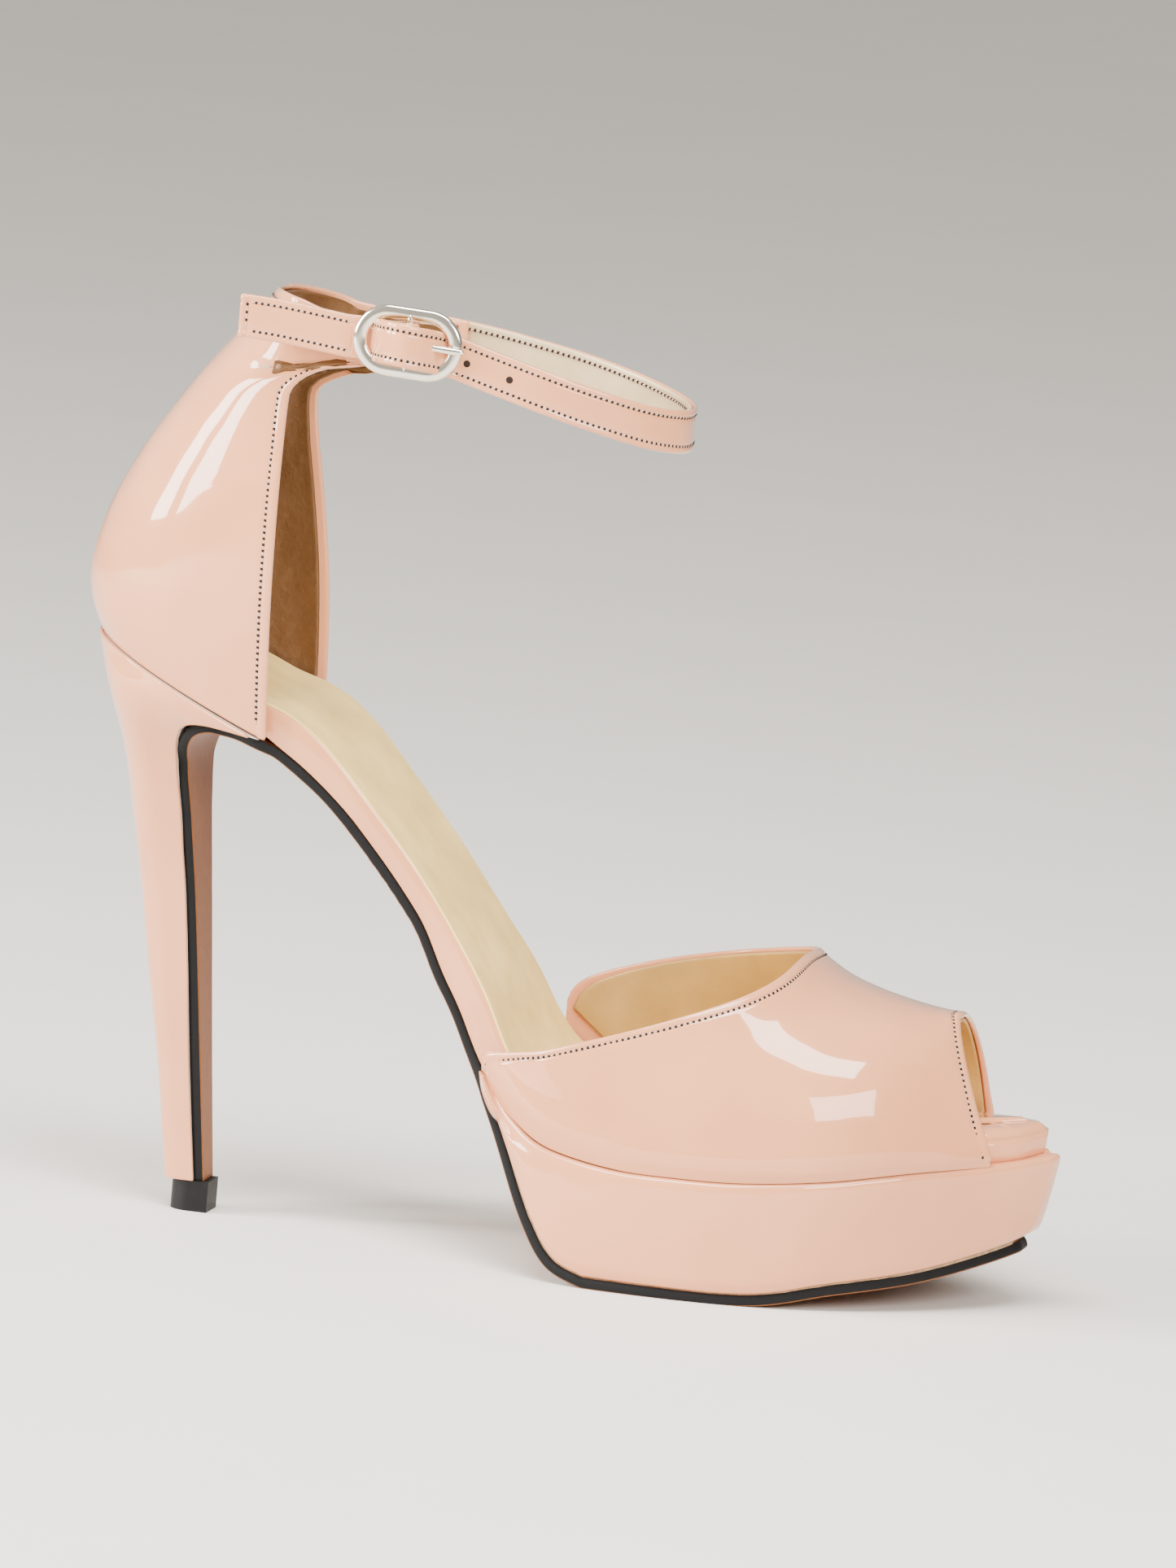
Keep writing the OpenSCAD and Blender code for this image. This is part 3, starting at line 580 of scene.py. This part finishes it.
def cup(s, h):
    """Heel cup with its ear: s is -1 at the lateral front, 0 at the back seam, 1 at the medial front."""
    r = curve_at(CUP_ROWS, h)
    side = -1 if s < 0 else 1
    k, ear = (2, EAR_LAT) if s < 0 else (5, EAR_MED)
    q = abs(s)
    a = q * math.pi / 2
    f = 1 - math.cos(a)
    low = np.array([r[0] + (r[k] - r[0]) * f, side * r[k + 1] * math.sin(a) ** 0.92,
                    r[1] + (r[k + 2] - r[1]) * f])
    w = float(ease(0.45, 0.64, h))
    if w == 0:
        return low
    o = max(-1.0, (h - 0.64) / 0.18 - 1)
    if q < 0.6:
        a = q / 0.6 * math.pi / 2
        x, y = r[0] + (ear[0, 0] - r[0]) * (1 - math.cos(a)), ear[0, 1] * math.sin(a) ** 0.92
        # the lateral top line stays high, the medial one drops fast from the seam
        z = r[1] + (ear[0, 2] + o * ear[0, 3] - r[1]) * (1 - math.cos(a)) ** (1 if s < 0 else 0.6)
        z += 0.9 * max(0, o) * math.sin(2 * a) * (1 if s < 0 else 0)
    else:
        x = ear[0, 0] + (ear[-1, 0] - ear[0, 0]) * (q - 0.6) / 0.4
        y, zc, half = (np.interp(x, ear[:, 0], ear[:, c]) for c in (1, 2, 3))
        z = zc + o * half
    return low * (1 - w) + np.array([x, side * y, z]) * w


def quarters():
    """The two outer halves of the heel cup, each with its ear and two rows of stitches."""
    rows = spread(90, 0.75)
    cols = spread(72, 0.55)
    for name, sign, nodes in (("quarter_lateral", -1, ["quarter_lateral"]),
                              ("quarter_medial", 1, ["quarter_medial", "strap_ear_medial"])):
        # the grid's normal points out of the shoe
        us = -cols if sign < 0 else cols[::-1]
        grid = sample(lambda u, v: cup(u if abs(u) > 1e-6 else sign * 1e-6, v), us, rows)
        front, seam = ("u1", "u0") if sign < 0 else ("u0", "u1")
        obj = sheet(name, grid, -LEATHER + 0.05, 0.0, [PATENT], edges=(front, "v1"))
        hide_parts(*nodes)
        place(obj, "ears")
        line, n = row_line(grid, front, SEAM_IN, 0.0, ("v1",))
        stitches(name + "_front_stitches", *trim(line, n, 1.5, 3.5), "ears")
        line, n = row_line(grid, "v1", SEAM_IN, 0.0, (front,))
        stitches(name + "_top_stitches", *trim(line, n, 1.0, 2.0), "ears")


def back_seam():
    """Zigzag thread over the centre-back seam."""
    hs = np.linspace(0.02, 0.985, 118)
    points, dirs = [], []
    for i, h in enumerate(hs):
        off = 0.028 if i % 2 else -0.028
        p = cup(off, h)
        n = np.cross(cup(-0.03, h) - cup(0.03, h), cup(0, min(1, h + 0.01)) - cup(0, h - 0.01))
        n /= np.linalg.norm(n)
        points.append(p + n * 0.1)
        dirs.append(n)
    points, dirs = np.array(points), np.array(dirs)
    rings = []
    for i in range(len(points) - 1):
        a, b = points[i], points[i + 1]
        t = (b - a) / np.linalg.norm(b - a)
        s = np.cross(dirs[i], t)
        for f in (0.08, 0.5, 0.92):
            c = a + (b - a) * f + dirs[i] * (0.05 if f == 0.5 else -0.06)
            rings.append([c + 0.2 * (math.cos(w) * s + math.sin(w) * dirs[i])
                          for w in np.linspace(0, 2 * math.pi, 7)[:-1]])
    obj = sweep("back_seam_thread", rings, [THREAD])
    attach(obj, "shoe")


def drawn_in(grid, column, d, fade):
    """Move one end column of a grid d mm in from its edge, fading out over the given distance."""
    t = along(grid[:, column])
    n = normals(grid)[:, column]
    into = np.cross(n, t)
    towards = grid[:, 8 if column == 0 else -9] - grid[:, column]
    into *= np.sign((into * towards).sum(1))[:, None]
    near = 1 - ease(0, fade, edge_distance(grid, "u0" if column == 0 else "u1"))
    return grid + into[:, None, :] * d * near[..., None]


def cup_lining():
    """The creased lining inside the cup, thicker where the stiffener lies behind it."""
    rows = spread(70, 0.5, 0.006, 0.972)
    cols = spread(130, 0.5, -0.99, 0.99)
    grid = sample(cup, cols, rows)
    grid = drawn_in(drawn_in(grid, 0, 1.1, 14), -1, 1.1, 14)
    s = np.abs(cols)[None, :]
    h = rows[:, None]
    stiff = np.clip(3.2 * (0.82 - s), 0, 1) * np.clip(3.4 * (0.74 - h), 0, 1)
    # on the ears the lining lies thin against the leather
    full = 1 - ease(0.5, 0.62, h) * ease(0.45, 0.6, s)
    outer = LEATHER + 0.02 + 0.08 * full + stiff * 1.15
    inner = outer + 0.25 + 0.6 * full
    n = normals(grid)
    rng = np.random.default_rng(4)
    crease = np.zeros_like(inner)
    for _ in range(46):
        cs, ch = rng.uniform(-0.95, 0.95), rng.uniform(0.03, 0.55)
        wide, tall, turn = rng.uniform(0.012, 0.03), rng.uniform(0.02, 0.07), rng.uniform(-1.2, 1.2)
        a = (s * np.sign(cols)[None, :] - cs) + (h - ch) * turn
        crease -= rng.uniform(0.1, 0.3) * np.exp(-(a / wide) ** 2 - ((h - ch) / tall) ** 2)
    # the lining's dark base colour is painted shade for the inside of the cup
    obj = sheet("counter_lining", grid, outer, 0.0, [CUP_LINING_SHADE], extra=inner + crease)
    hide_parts("counter_lining")
    place(obj, "ears")


def vamp_at(u, v):
    """u is 0 at the medial feather edge and 1 at the lateral one, v 0 at the throat, 1 at the toe."""
    side = 1 if u < 0.5 else -1
    q = abs(2 * u - 1)
    a = q * math.pi / 2
    c, sn = math.cos(a), math.sin(a)
    r = curve_at(RIDGE, v)
    xf = 64.9 + 106.1 * v if side < 0 else 69.5 + 94.5 * v
    x = xf + (r[0] - xf) * ((1 - v) * math.sin(math.pi / 2 * c) ** 1.2 + v * c)
    xm = x + (xf - x) * v
    w = height_at(PLAT_LAT if side < 0 else PLAT_MED, xm)
    zs = height_at(SEAT, xm) + 0.15
    power = 0.46 + 0.51 * v if side < 0 else 0.21 + 0.76 * v
    return np.array([x, side * w * sn, zs + (r[1] - zs) * max(c, 0.0) ** power])


def vamp():
    """The vamp, tucked under at the feather edge, and its lining."""
    us, vs = spread(150, 0.45), spread(80, 0.7)
    grid = sample(vamp_at, us, vs)
    tuck = np.minimum(edge_distance(grid, "u0"), edge_distance(grid, "u1"))
    extra = -0.9 * (1 - ease(0, 2.0, tuck)) + 0.3 * np.exp(-((tuck - 5) / 3.0) ** 2)
    obj = sheet("vamp", grid, -LEATHER + 0.05, 0.0, [PATENT], edges=("v0", "v1"), extra=extra)
    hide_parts("vamp")
    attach(obj, "shoe")
    for edge, label in (("v0", "throat"), ("v1", "toe")):
        line, n = row_line(grid, edge, SEAM_IN)
        stitches("vamp_%s_stitches" % label, *trim(line, n, 2, 2), "shoe")
    us, vs = spread(120, 0.3, 0.004, 0.996), spread(60, 0.4, 0.012, 0.988)
    grid = sample(vamp_at, us, vs)
    lining = sheet("vamp_lining", grid, -LEATHER - 0.08 - LINING, -LEATHER - 0.05, [GOLD])
    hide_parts("vamp_lining")
    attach(lining, "shoe")


# ---- sole --------------------------------------------------------------------------------

def outline(lat, med, n, closed):
    """Plan outline from the lateral and medial half widths, as n even points."""
    back = med[::-1]
    path = np.concatenate([np.stack([lat[:, 0], -lat[:, 1]], 1), back[back[:, 1] > 0.01]])
    return evenly(np.concatenate([path, path[:1]]) if closed else path, n)


def inward(path, closed):
    """Unit directions from an outline to its inside."""
    if closed:
        t = np.roll(path, -1, 0) - np.roll(path, 1, 0)
        t /= np.linalg.norm(t, axis=1, keepdims=True)
    else:
        t = along(path)
    return np.stack([-t[:, 1], t[:, 0]], 1)


def platform():
    """The platform's cover: a wall that turns in over the top and under the bottom."""
    lat, med = PLAT_LAT[PLAT_LAT[:, 0] > 63.5], PLAT_MED[PLAT_MED[:, 0] > 63.5]
    path = outline(lat, med, 300, False)
    inn = inward(path, False)
    # distance in from the outline, part of the height, and height added
    profile = [(7.0, 1, -0.10), (3.0, 1, -0.02), (1.6, 1, 0.0), (0.8, 1, -0.12), (0.25, 1, -0.5),
               (0.0, 1, -1.1), (-0.12, 1, -2.2), (-0.25, 0.6, 0), (-0.25, 0.4, 0), (-0.1, 0.12, 0),
               (0.2, 0, 0.6), (0.8, 0, 0.15), (2.5, 0, 0.1), (6.0, 0, 0.1)]
    rings = []
    ground_top = lift(GROUND, OUTSOLE_T)[60:]
    for p, i in zip(path, inn):
        top = float(height_at(SEAT, p[0])) - 0.05
        low = 10.0
        for _ in range(4):
            low = float(height_at(ground_top, p[0] - LEAN * (LEAN_Z - low))) + 0.1
        low = min(low, top - 1.0)
        ring = []
        for d, part, dz in profile:
            z = low + (top - low) * part + dz
            q = p + i * d
            ring.append([q[0] + LEAN * (z - LEAN_Z), q[1], z])
        rings.append(ring)
    rings = np.array(rings)
    grid = np.swapaxes(rings, 0, 1)[::-1]
    obj = sheet("platform_cover", np.ascontiguousarray(grid), -0.9, 0.0, [PATENT], round_edge=0.4)
    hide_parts("platform_cover")
    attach(obj, "shoe")


def sole_width(x, z, which):
    """Half width of the outsole at a point of its side line."""
    flap = float(np.interp(z, FLAP[:, 1], FLAP[:, 0]))
    if 20 < z < 108 and x < 11:
        if x < 2:
            return flap
        foot = float(np.interp(x, which[0][:, 0], which[0][:, 1])) - 1
        return flap + (foot - flap) * float(ease(2, 11, x))
    if x < 8:
        return flap
    rear = float(height_at(which[0], x)) - 1
    front = float(height_at(which[1], min(x + LEAN * (LEAN_Z - z), 181.2))) - 1
    return rear + (front - rear) * float(ease(58, 68, x))


def outsole():
    """The leather outsole with its black edge and the flap down the heel's breast."""
    line = evenly(GROUND[GROUND[:, 0] < 176.4], 340)
    lat = np.array([sole_width(x, z, (SOLE_LAT, PLAT_LAT)) for x, z in line])
    med = np.array([sole_width(x, z, (SOLE_MED, PLAT_MED)) for x, z in line])
    t = np.linspace(-1, 1, 25)
    t = np.sign(t) * (1 - (1 - np.abs(t)) ** 1.6)
    grid = np.array([[[x, y, z] for y in np.where(t < 0, t * l, t * m)]
                     for (x, z), l, m in zip(line, lat, med)])
    grid = np.swapaxes(grid, 0, 1)
    # under the arch the sole reaches up to the insole unit
    reach = np.array([np.min(np.linalg.norm(BASE - p, axis=1)) for p in line])
    arch = ease(12, 16, line[:, 0]) * (1 - ease(62, 66, line[:, 0])) * (line[:, 1] > 30)
    high = OUTSOLE_T - 0.02 + arch * (np.clip(reach, 2, 3.3) - OUTSOLE_T)
    low = arch * np.clip(reach - 2.3, 0, 1)
    obj = sheet("outsole", np.ascontiguousarray(grid), low[None, :], high[None, :], [SOLE, EDGE],
                round_edge=0.35, rim_slots=(1, 1, 1, 1, 0))
    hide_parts("outsole")
    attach(obj, "shoe")


def insole_wrap():
    """The patent band round the edge of the insole unit, plump at the toe."""
    path = outline(SOLE_LAT, SOLE_MED, 420, True)[:-1]
    inn = inward(path, True)
    profile = [(3.0, 0, 0.07), (1.0, 0, 0.05), (0.3, 0, 0.25), (0.0, 0, 0.9), (-0.18, 0.3, 0),
               (-0.25, 0.5, 0), (-0.2, 0.75, 0), (-0.05, 1, -0.9), (0.12, 1, -0.4), (0.5, 1, -0.08),
               (1.6, 1, 0.0), (5.0, 1, 0.0)]
    rings = []
    for p, i in zip(path, inn):
        more = 1 + 2.6 * float(ease(154, 166, p[0]))
        ring = []
        for d, part, dz in profile:
            q = p + i * (d * more if part == 1 and d > 0 else d)
            low, top = float(height_at(BASE, q[0])), float(height_at(TOP, q[0]))
            z = low + (top - low) * part + (dz * more if part == 1 else dz)
            ring.append([q[0], q[1], z])
        rings.append(ring)
    n, m = len(rings), len(profile)
    rings = np.array(rings)
    faces = [(i * m + k, ((i + 1) % n) * m + k, ((i + 1) % n) * m + k + 1, i * m + k + 1)
             for i in range(n) for k in range(m - 1)]
    obj = make("insole_wrap", rings.reshape(-1, 3), faces, [PATENT])
    solid = obj.modifiers.new("thickness", "SOLIDIFY")
    solid.thickness = 0.8 * MM
    solid.offset = -1
    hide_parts("insole_wrap")
    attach(obj, "shoe")


def sock():
    """The sock: padded at the ball, hollow at the seat, with fine creases."""
    xs = -24.1 + (SOCK_END + 24.1) * (0.5 - 0.5 * np.cos(np.linspace(0, math.pi, 220)))
    t = np.linspace(-1, 1, 61)
    rng = np.random.default_rng(11)
    top = lift(TOP, 0.06)
    grid = []
    for x in xs:
        l = max(0.3, float(height_at(SOLE_LAT, x)) - 0.3)
        m = max(0.3, float(height_at(SOLE_MED, x)) - 0.3)
        z = float(height_at(top, x))
        grid.append([[x, y, z] for y in np.where(t < 0, t * l, t * m)])
    grid = np.array(grid)
    gx, gy = grid[..., 0], grid[..., 1]
    edge = 1 - np.abs(t)[None, :] ** 6
    ball, seat = np.exp(-((gx - 100) / 34) ** 2), np.exp(-((gx + 2) / 18) ** 2)
    shape = 0.55 + 1.3 * edge * ball - 0.5 * edge * seat
    for _ in range(70):
        cx, cy = rng.uniform(62, 128), rng.uniform(-30, 30)
        turn, wide, tall = rng.normal(1.3, 0.5), rng.uniform(0.3, 0.7), rng.uniform(2.0, 7.0)
        a = (gx - cx) * math.sin(turn) - (gy - cy) * math.cos(turn)
        b = (gx - cx) * math.cos(turn) + (gy - cy) * math.sin(turn)
        shape -= edge * rng.uniform(0.04, 0.13) * np.exp(-(a / wide) ** 2 - (b / tall) ** 2)
    top_grid = np.swapaxes(grid, 0, 1)[::-1]
    obj = sheet("sock_lining", np.ascontiguousarray(top_grid), 0.0, 0.0, [SOCK],
                extra=np.swapaxes(shape, 0, 1)[::-1])
    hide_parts("sock_lining")
    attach(obj, "shoe")


def heel_skin(u, v):
    """Heel surface: round at the back, and towards the top it takes the outline of the heel cup."""
    v *= 0.993
    r = curve_at(HEEL_RINGS, v)
    a = math.radians(-146 + 292 * u)
    q = abs(a) * 0.6
    cupped = float(ease(0.7, 1, v))
    t = (1 - cupped) * ((1 + math.cos(a)) / 2 - 0.067) / 0.933 + cupped * math.cos(q)
    wide = 1 if abs(a) > math.pi / 2 else abs(math.sin(a)) ** 0.8
    wide = (1 - cupped) * wide + cupped * math.sin(q) ** 0.92
    side = 1 if a < 0 else -1
    return np.array([r[2] + (r[0] - r[2]) * t, side * r[4] * wide, r[3] + (r[1] - r[3]) * t])


def heel():
    """The heel's cover."""
    grid = sample(heel_skin, spread(72, 0.2), spread(150, 0.2))
    obj = sheet("heel_cover", grid, 0.1, 0.85, [PATENT], round_edge=0.6)
    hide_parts("heel_cover")
    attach(obj, "shoe")


# ---- strap and buckle --------------------------------------------------------------------

def ribbon(path, height, n_across=16):
    """Grid along a path, columns along it, rows from its lower to its upper edge."""
    t = spread(n_across, 0.5, -0.5, 0.5)
    h = np.broadcast_to(height, (len(path),))
    grid = path[None, :, :] + np.zeros((len(t), 1, 1))
    grid[..., 2] += t[:, None] * h[None, :]
    return grid


def strap_piece(node, path, low, high, material, body, edges=("v0", "v1")):
    """One layer of the strap or its tail; returns its grid."""
    grid = ribbon(path, STRAP_H)
    obj = sheet(node, grid, low, high, [material], edges=edges, seam=STRAP_SEAM_IN)
    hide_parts(node)
    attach(obj, body)
    return grid


def dots(name, spots, body):
    """Punched holes: a pit with a pressed rim, coloured dark as painted shade for the hole's inside."""
    parts = []
    for p, n in spots:
        p, n = np.array(p, float), np.array(n, float) / np.linalg.norm(n)
        s = np.cross(n, [0, 0, 1])
        s /= np.linalg.norm(s)
        w = np.cross(n, s)
        rings = []
        for r, z in ((0.03, -0.02), (0.4, -0.01), (0.55, 0.03), (0.65, 0.02), (0.75, -0.1)):
            rings.append([p + n * (z + 0.07) + r * (math.cos(a) * s + math.sin(a) * w)
                          for a in np.linspace(0, 2 * math.pi, 25)[:-1]])
        parts.append(sweep("dot", rings, [HOLE_SHADE]))
    obj = join(name, parts)
    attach(obj, body)


def strap():
    """The strap with its lining and holes, its free tail, and the tab round the buckle's bar."""
    path = np.concatenate([smooth(THREADED, 10), smooth(STRAP, 16)[1:]])
    grid = strap_piece("ankle_strap", path, 0.0, STRAP_FACE, PATENT, "strap")
    inner = path[: int(len(path) * 0.972)]
    lining = strap_piece("strap_lining", inner, -0.85, -0.08, BAND, "strap", ())
    for edge in ("v0", "v1"):
        line, n = row_line(lining, edge, STRAP_SEAM_IN)
        stitches("strap_lining_stitches_" + edge, *trim(line - n * STRAP_FACE, -n, 24, 1), "strap")
    for edge in ("v0", "v1"):
        line, n = row_line(grid, edge, STRAP_SEAM_IN, STRAP_FACE)
        stitches("ankle_strap_stitches_" + edge, *trim(line, n, 1, 1), "strap")
    dots("strap_holes", [((33.6, -36.9, 190), (-0.6, -1, 0)), ((50.2, -30.86, 186.6), (0, -1, 0)),
                        ((59.3, -30.55, 184.2), (0.08, -1, 0))], "strap")
    tail = smooth(TAIL, 14)
    grid = strap_piece("strap_tail", tail, 0.0, STRAP_FACE, PATENT, "tail", ("v0", "v1", "u0"))
    strap_piece("tail_lining", tail, -0.85, -0.08, BAND, "tail", ())
    for edge in ("v0", "v1"):
        line, n = row_line(grid, edge, STRAP_SEAM_IN, STRAP_FACE)
        stitches("strap_tail_stitches_" + edge, *trim(line, n, 1.1, 0.2), "tail")
    line, n = row_line(grid, "u0", STRAP_SEAM_IN, STRAP_FACE)
    stitches("strap_tail_end_stitches", *trim(line, n, 1.1, 1.1), "tail")
    tab = smooth(TAB, 12)
    height = np.interp(np.linspace(0, 1, len(tab)), [0, 0.25, 1], [8.6, 7.4, 7.4])
    grid = ribbon(tab, height)
    obj = sheet("buckle_tab", grid, -0.5, 0.5, [PATENT])
    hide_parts("buckle_tab")
    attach(obj, "strap")
    # bar tack where the strap laps over the medial ear
    for k, x in enumerate((33.6, 34.3)):
        line = np.array([[x, 29.25, z] for z in np.linspace(181.2, 187.4, 12)])
        stitches("lap_stitches_%d" % k, line, np.tile([0.0, 1.0, 0.0], (len(line), 1)), "strap", 1.3, 0.1)


BUCKLE_W = 1.45       # half the width of the buckle's rim


def buckle():
    """The oval buckle frame with its bar, and the prong."""
    tilt = math.radians(2.5)
    ex = np.array([math.cos(tilt), 0, -math.sin(tilt)])
    ez = np.array([math.sin(tilt), 0, math.cos(tilt)])
    ey = np.array([0, -1.0, 0])
    end_r, straight = 7.4 - BUCKLE_W, 8.2

    def at(p):
        return BAR + p[0] * ex + p[1] * ez + p[2] * ey

    rings = []
    n = 120
    lengths = 2 * straight + 2 * math.pi * end_r
    for i in range(n):
        s = lengths * i / n
        if s < straight:
            c, d = (-straight / 2 + s, end_r), (0, 1)
        elif s < straight + math.pi * end_r:
            a = math.pi / 2 - (s - straight) / end_r
            c, d = (straight / 2 + end_r * math.cos(a), end_r * math.sin(a)), (math.cos(a), math.sin(a))
        elif s < 2 * straight + math.pi * end_r:
            c, d = (straight / 2 - (s - straight - math.pi * end_r), -end_r), (0, -1)
        else:
            a = -math.pi / 2 - (s - 2 * straight - math.pi * end_r) / end_r
            c, d = (-straight / 2 + end_r * math.cos(a), end_r * math.sin(a)), (math.cos(a), math.sin(a))
        ring = []
        for k in range(20):
            b = 2 * math.pi * k / 20
            w = BUCKLE_W * math.copysign(abs(math.cos(b)) ** 0.75, math.cos(b))
            h = 0.9 * math.copysign(abs(math.sin(b)) ** 0.75, math.sin(b))
            ring.append(at((c[0] + d[0] * w, c[1] + d[1] * w, h)))
        rings.append(ring)
    loop = sweep("loop", rings, [METAL], close_path=True, caps=False)
    bar = [[at((0.9 * math.cos(b), z, 0.9 * math.sin(b))) for b in np.linspace(0, 2 * math.pi, 21)[:-1]]
           for z in np.linspace(-end_r, end_r, 12)]
    bar = sweep("bar", bar, [METAL])
    obj = join("buckle_frame", [loop, bar])
    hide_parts("buckle_frame")
    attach(obj, "buckle")
    # prong: an eye round the bar and a tapered tongue
    eye = []
    for i in range(36):
        a = 2 * math.pi * i / 36
        ring = []
        for b in np.linspace(0, 2 * math.pi, 13)[:-1]:
            out = 1.4 + 0.42 * math.cos(b)
            ring.append(at((out * math.cos(a), 0.85 * math.sin(b), out * math.sin(a))))
        eye.append(ring)
    eye = sweep("eye", eye, [METAL], close_path=True, caps=False)
    tongue = []
    reach = 12.0
    for f in list(np.linspace(0, 0.9, 14)) + [0.94, 0.97, 0.99, 1.0]:
        r = 0.82 * (1 - 0.18 * f) * (1 if f <= 0.9 else math.sqrt(max(0.02, 1 - ((f - 0.9) / 0.1) ** 2)))
        x, h = 0.4 + reach * f, 1.1 + 1.15 * f + 0.5 * math.sin(math.pi * f)
        tongue.append([at((x, r * math.cos(b), h + r * 0.85 * math.sin(b)))
                       for b in np.linspace(0, 2 * math.pi, 17)[:-1]])
    tongue = sweep("tongue", tongue, [METAL])
    obj = join("buckle_prong", [eye, tongue])
    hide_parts("buckle_prong")
    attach(obj, "prong")


# ---- nodes that stay as the CAD has them --------------------------------------------------

KEPT = {"platform_core": CORK, "forepart_filler": CORK, "insole_board": BOARD, "shank": STEEL,
        "sock_padding": FOAM, "heel_block": PLASTIC, "heel_tube": STEEL, "top_lift": TIP,
        "top_lift_pin": STEEL, "heel_screw": STEEL, "heel_nails": STEEL, "counter_stiffener": BOARD}


def kept_nodes():
    """Give the untouched nodes their materials, and the heel tip soft edges."""
    for name, material in KEPT.items():
        obj = frame["nodes"][name]
        obj.data.materials.clear()
        obj.data.materials.append(material)
    edge = frame["nodes"]["top_lift"].modifiers.new("edge", "BEVEL")
    edge.width = 0.35 * MM
    edge.segments = 3


# ---- stage ---------------------------------------------------------------------------------

def softbox(name, where, target, size, power):
    """A rectangular lamp turned to a target."""
    light = bpy.data.lights.new(name, "AREA")
    light.shape = "RECTANGLE"
    light.size, light.size_y = size
    light.energy = power
    obj = bpy.data.objects.new(name, light)
    obj.location = where
    obj.rotation_euler = (Vector(target) - Vector(where)).to_track_quat("-Z", "Y").to_euler()
    bpy.context.scene.collection.objects.link(obj)


def floor():
    """A plain pale floor."""
    mesh = bpy.data.meshes.new("floor")
    n, size = 40, 14.0
    at = [-size / 2 + size * i / n for i in range(n + 1)]
    verts = [(x, y, 0.0) for y in at for x in at]
    faces = [(j * (n + 1) + i, j * (n + 1) + i + 1, (j + 1) * (n + 1) + i + 1, (j + 1) * (n + 1) + i)
             for j in range(n) for i in range(n)]
    mesh.from_pydata(verts, [], faces)
    obj = bpy.data.objects.new("floor", mesh)
    bpy.context.scene.collection.objects.link(obj)
    obj.data.materials.append(plain("pale_floor", (0.82, 0.78, 0.72), 0.7, 20, 0.05, 0.98))


def world():
    """Even pale light for the camera; the shoe mirrors a room that is brighter on its left."""
    studio = bpy.data.worlds.new("studio")
    bpy.context.scene.world = studio
    studio.use_nodes = True
    tree = studio.node_tree
    where = tree.nodes.new("ShaderNodeTexCoord")
    split = tree.nodes.new("ShaderNodeSeparateXYZ")
    tree.links.new(where.outputs["Generated"], split.inputs["Vector"])
    side = tree.nodes.new("ShaderNodeMapRange")
    side.inputs["From Min"].default_value = -1
    side.inputs["To Min"].default_value = 0.95
    side.inputs["To Max"].default_value = 0.3
    tree.links.new(split.outputs["X"], side.inputs["Value"])
    plain_back = tree.nodes["Background"]
    plain_back.inputs["Color"].default_value = (0.93, 0.92, 0.91, 1)
    room = tree.nodes.new("ShaderNodeBackground")
    room.inputs["Color"].default_value = (1.0, 0.96, 0.90, 1)
    tree.links.new(side.outputs["Result"], room.inputs["Strength"])
    ray = tree.nodes.new("ShaderNodeLightPath")
    mix = tree.nodes.new("ShaderNodeMixShader")
    tree.links.new(ray.outputs["Is Camera Ray"], mix.inputs["Fac"])
    tree.links.new(room.outputs["Background"], mix.inputs[1])
    tree.links.new(plain_back.outputs["Background"], mix.inputs[2])
    tree.links.new(mix.outputs["Shader"], tree.nodes["World Output"].inputs["Surface"])


def stage():
    """Floor, world and lamps."""
    floor()
    world()
    middle = (0.07, 0, 0.09)
    softbox("window_left", (-1.15, -0.42, 0.55), middle, (0.3, 0.75), 24)
    softbox("window_left_2", (-1.05, -0.85, 0.55), middle, (0.3, 0.75), 24)
    softbox("overhead", (0.15, -0.5, 1.25), middle, (1.0, 0.45), 34)
    softbox("front_right", (0.95, -1.1, 0.75), middle, (0.9, 0.6), 26)


DISTANCE = 3.5        # far back with a long lens, as the photographed view is nearly parallel


def camera():
    """The photographed view, tilted a little to one side."""
    az, el, roll = (math.radians(a) for a in (11.85, 8.2, 4.9))
    target = Vector((0.0765, 0, 0.0985))
    away = Vector((math.sin(az) * math.cos(el), -math.cos(az) * math.cos(el), math.sin(el)))
    cam = bpy.data.cameras.new("camera")
    cam.sensor_fit = "VERTICAL"
    cam.sensor_height = 36
    cam.lens = 388
    obj = bpy.data.objects.new("camera", cam)
    obj.location = target + away * DISTANCE
    turn = (-away).to_track_quat("-Z", "Y").to_matrix().to_4x4()
    obj.rotation_euler = (turn @ Matrix.Rotation(roll, 4, "Z")).to_euler()
    bpy.context.scene.collection.objects.link(obj)
    bpy.context.scene.camera = obj


quarters()
back_seam()
cup_lining()
vamp()
platform()
outsole()
insole_wrap()
sock()
heel()
strap()
buckle()
kept_nodes()
stage()
camera()
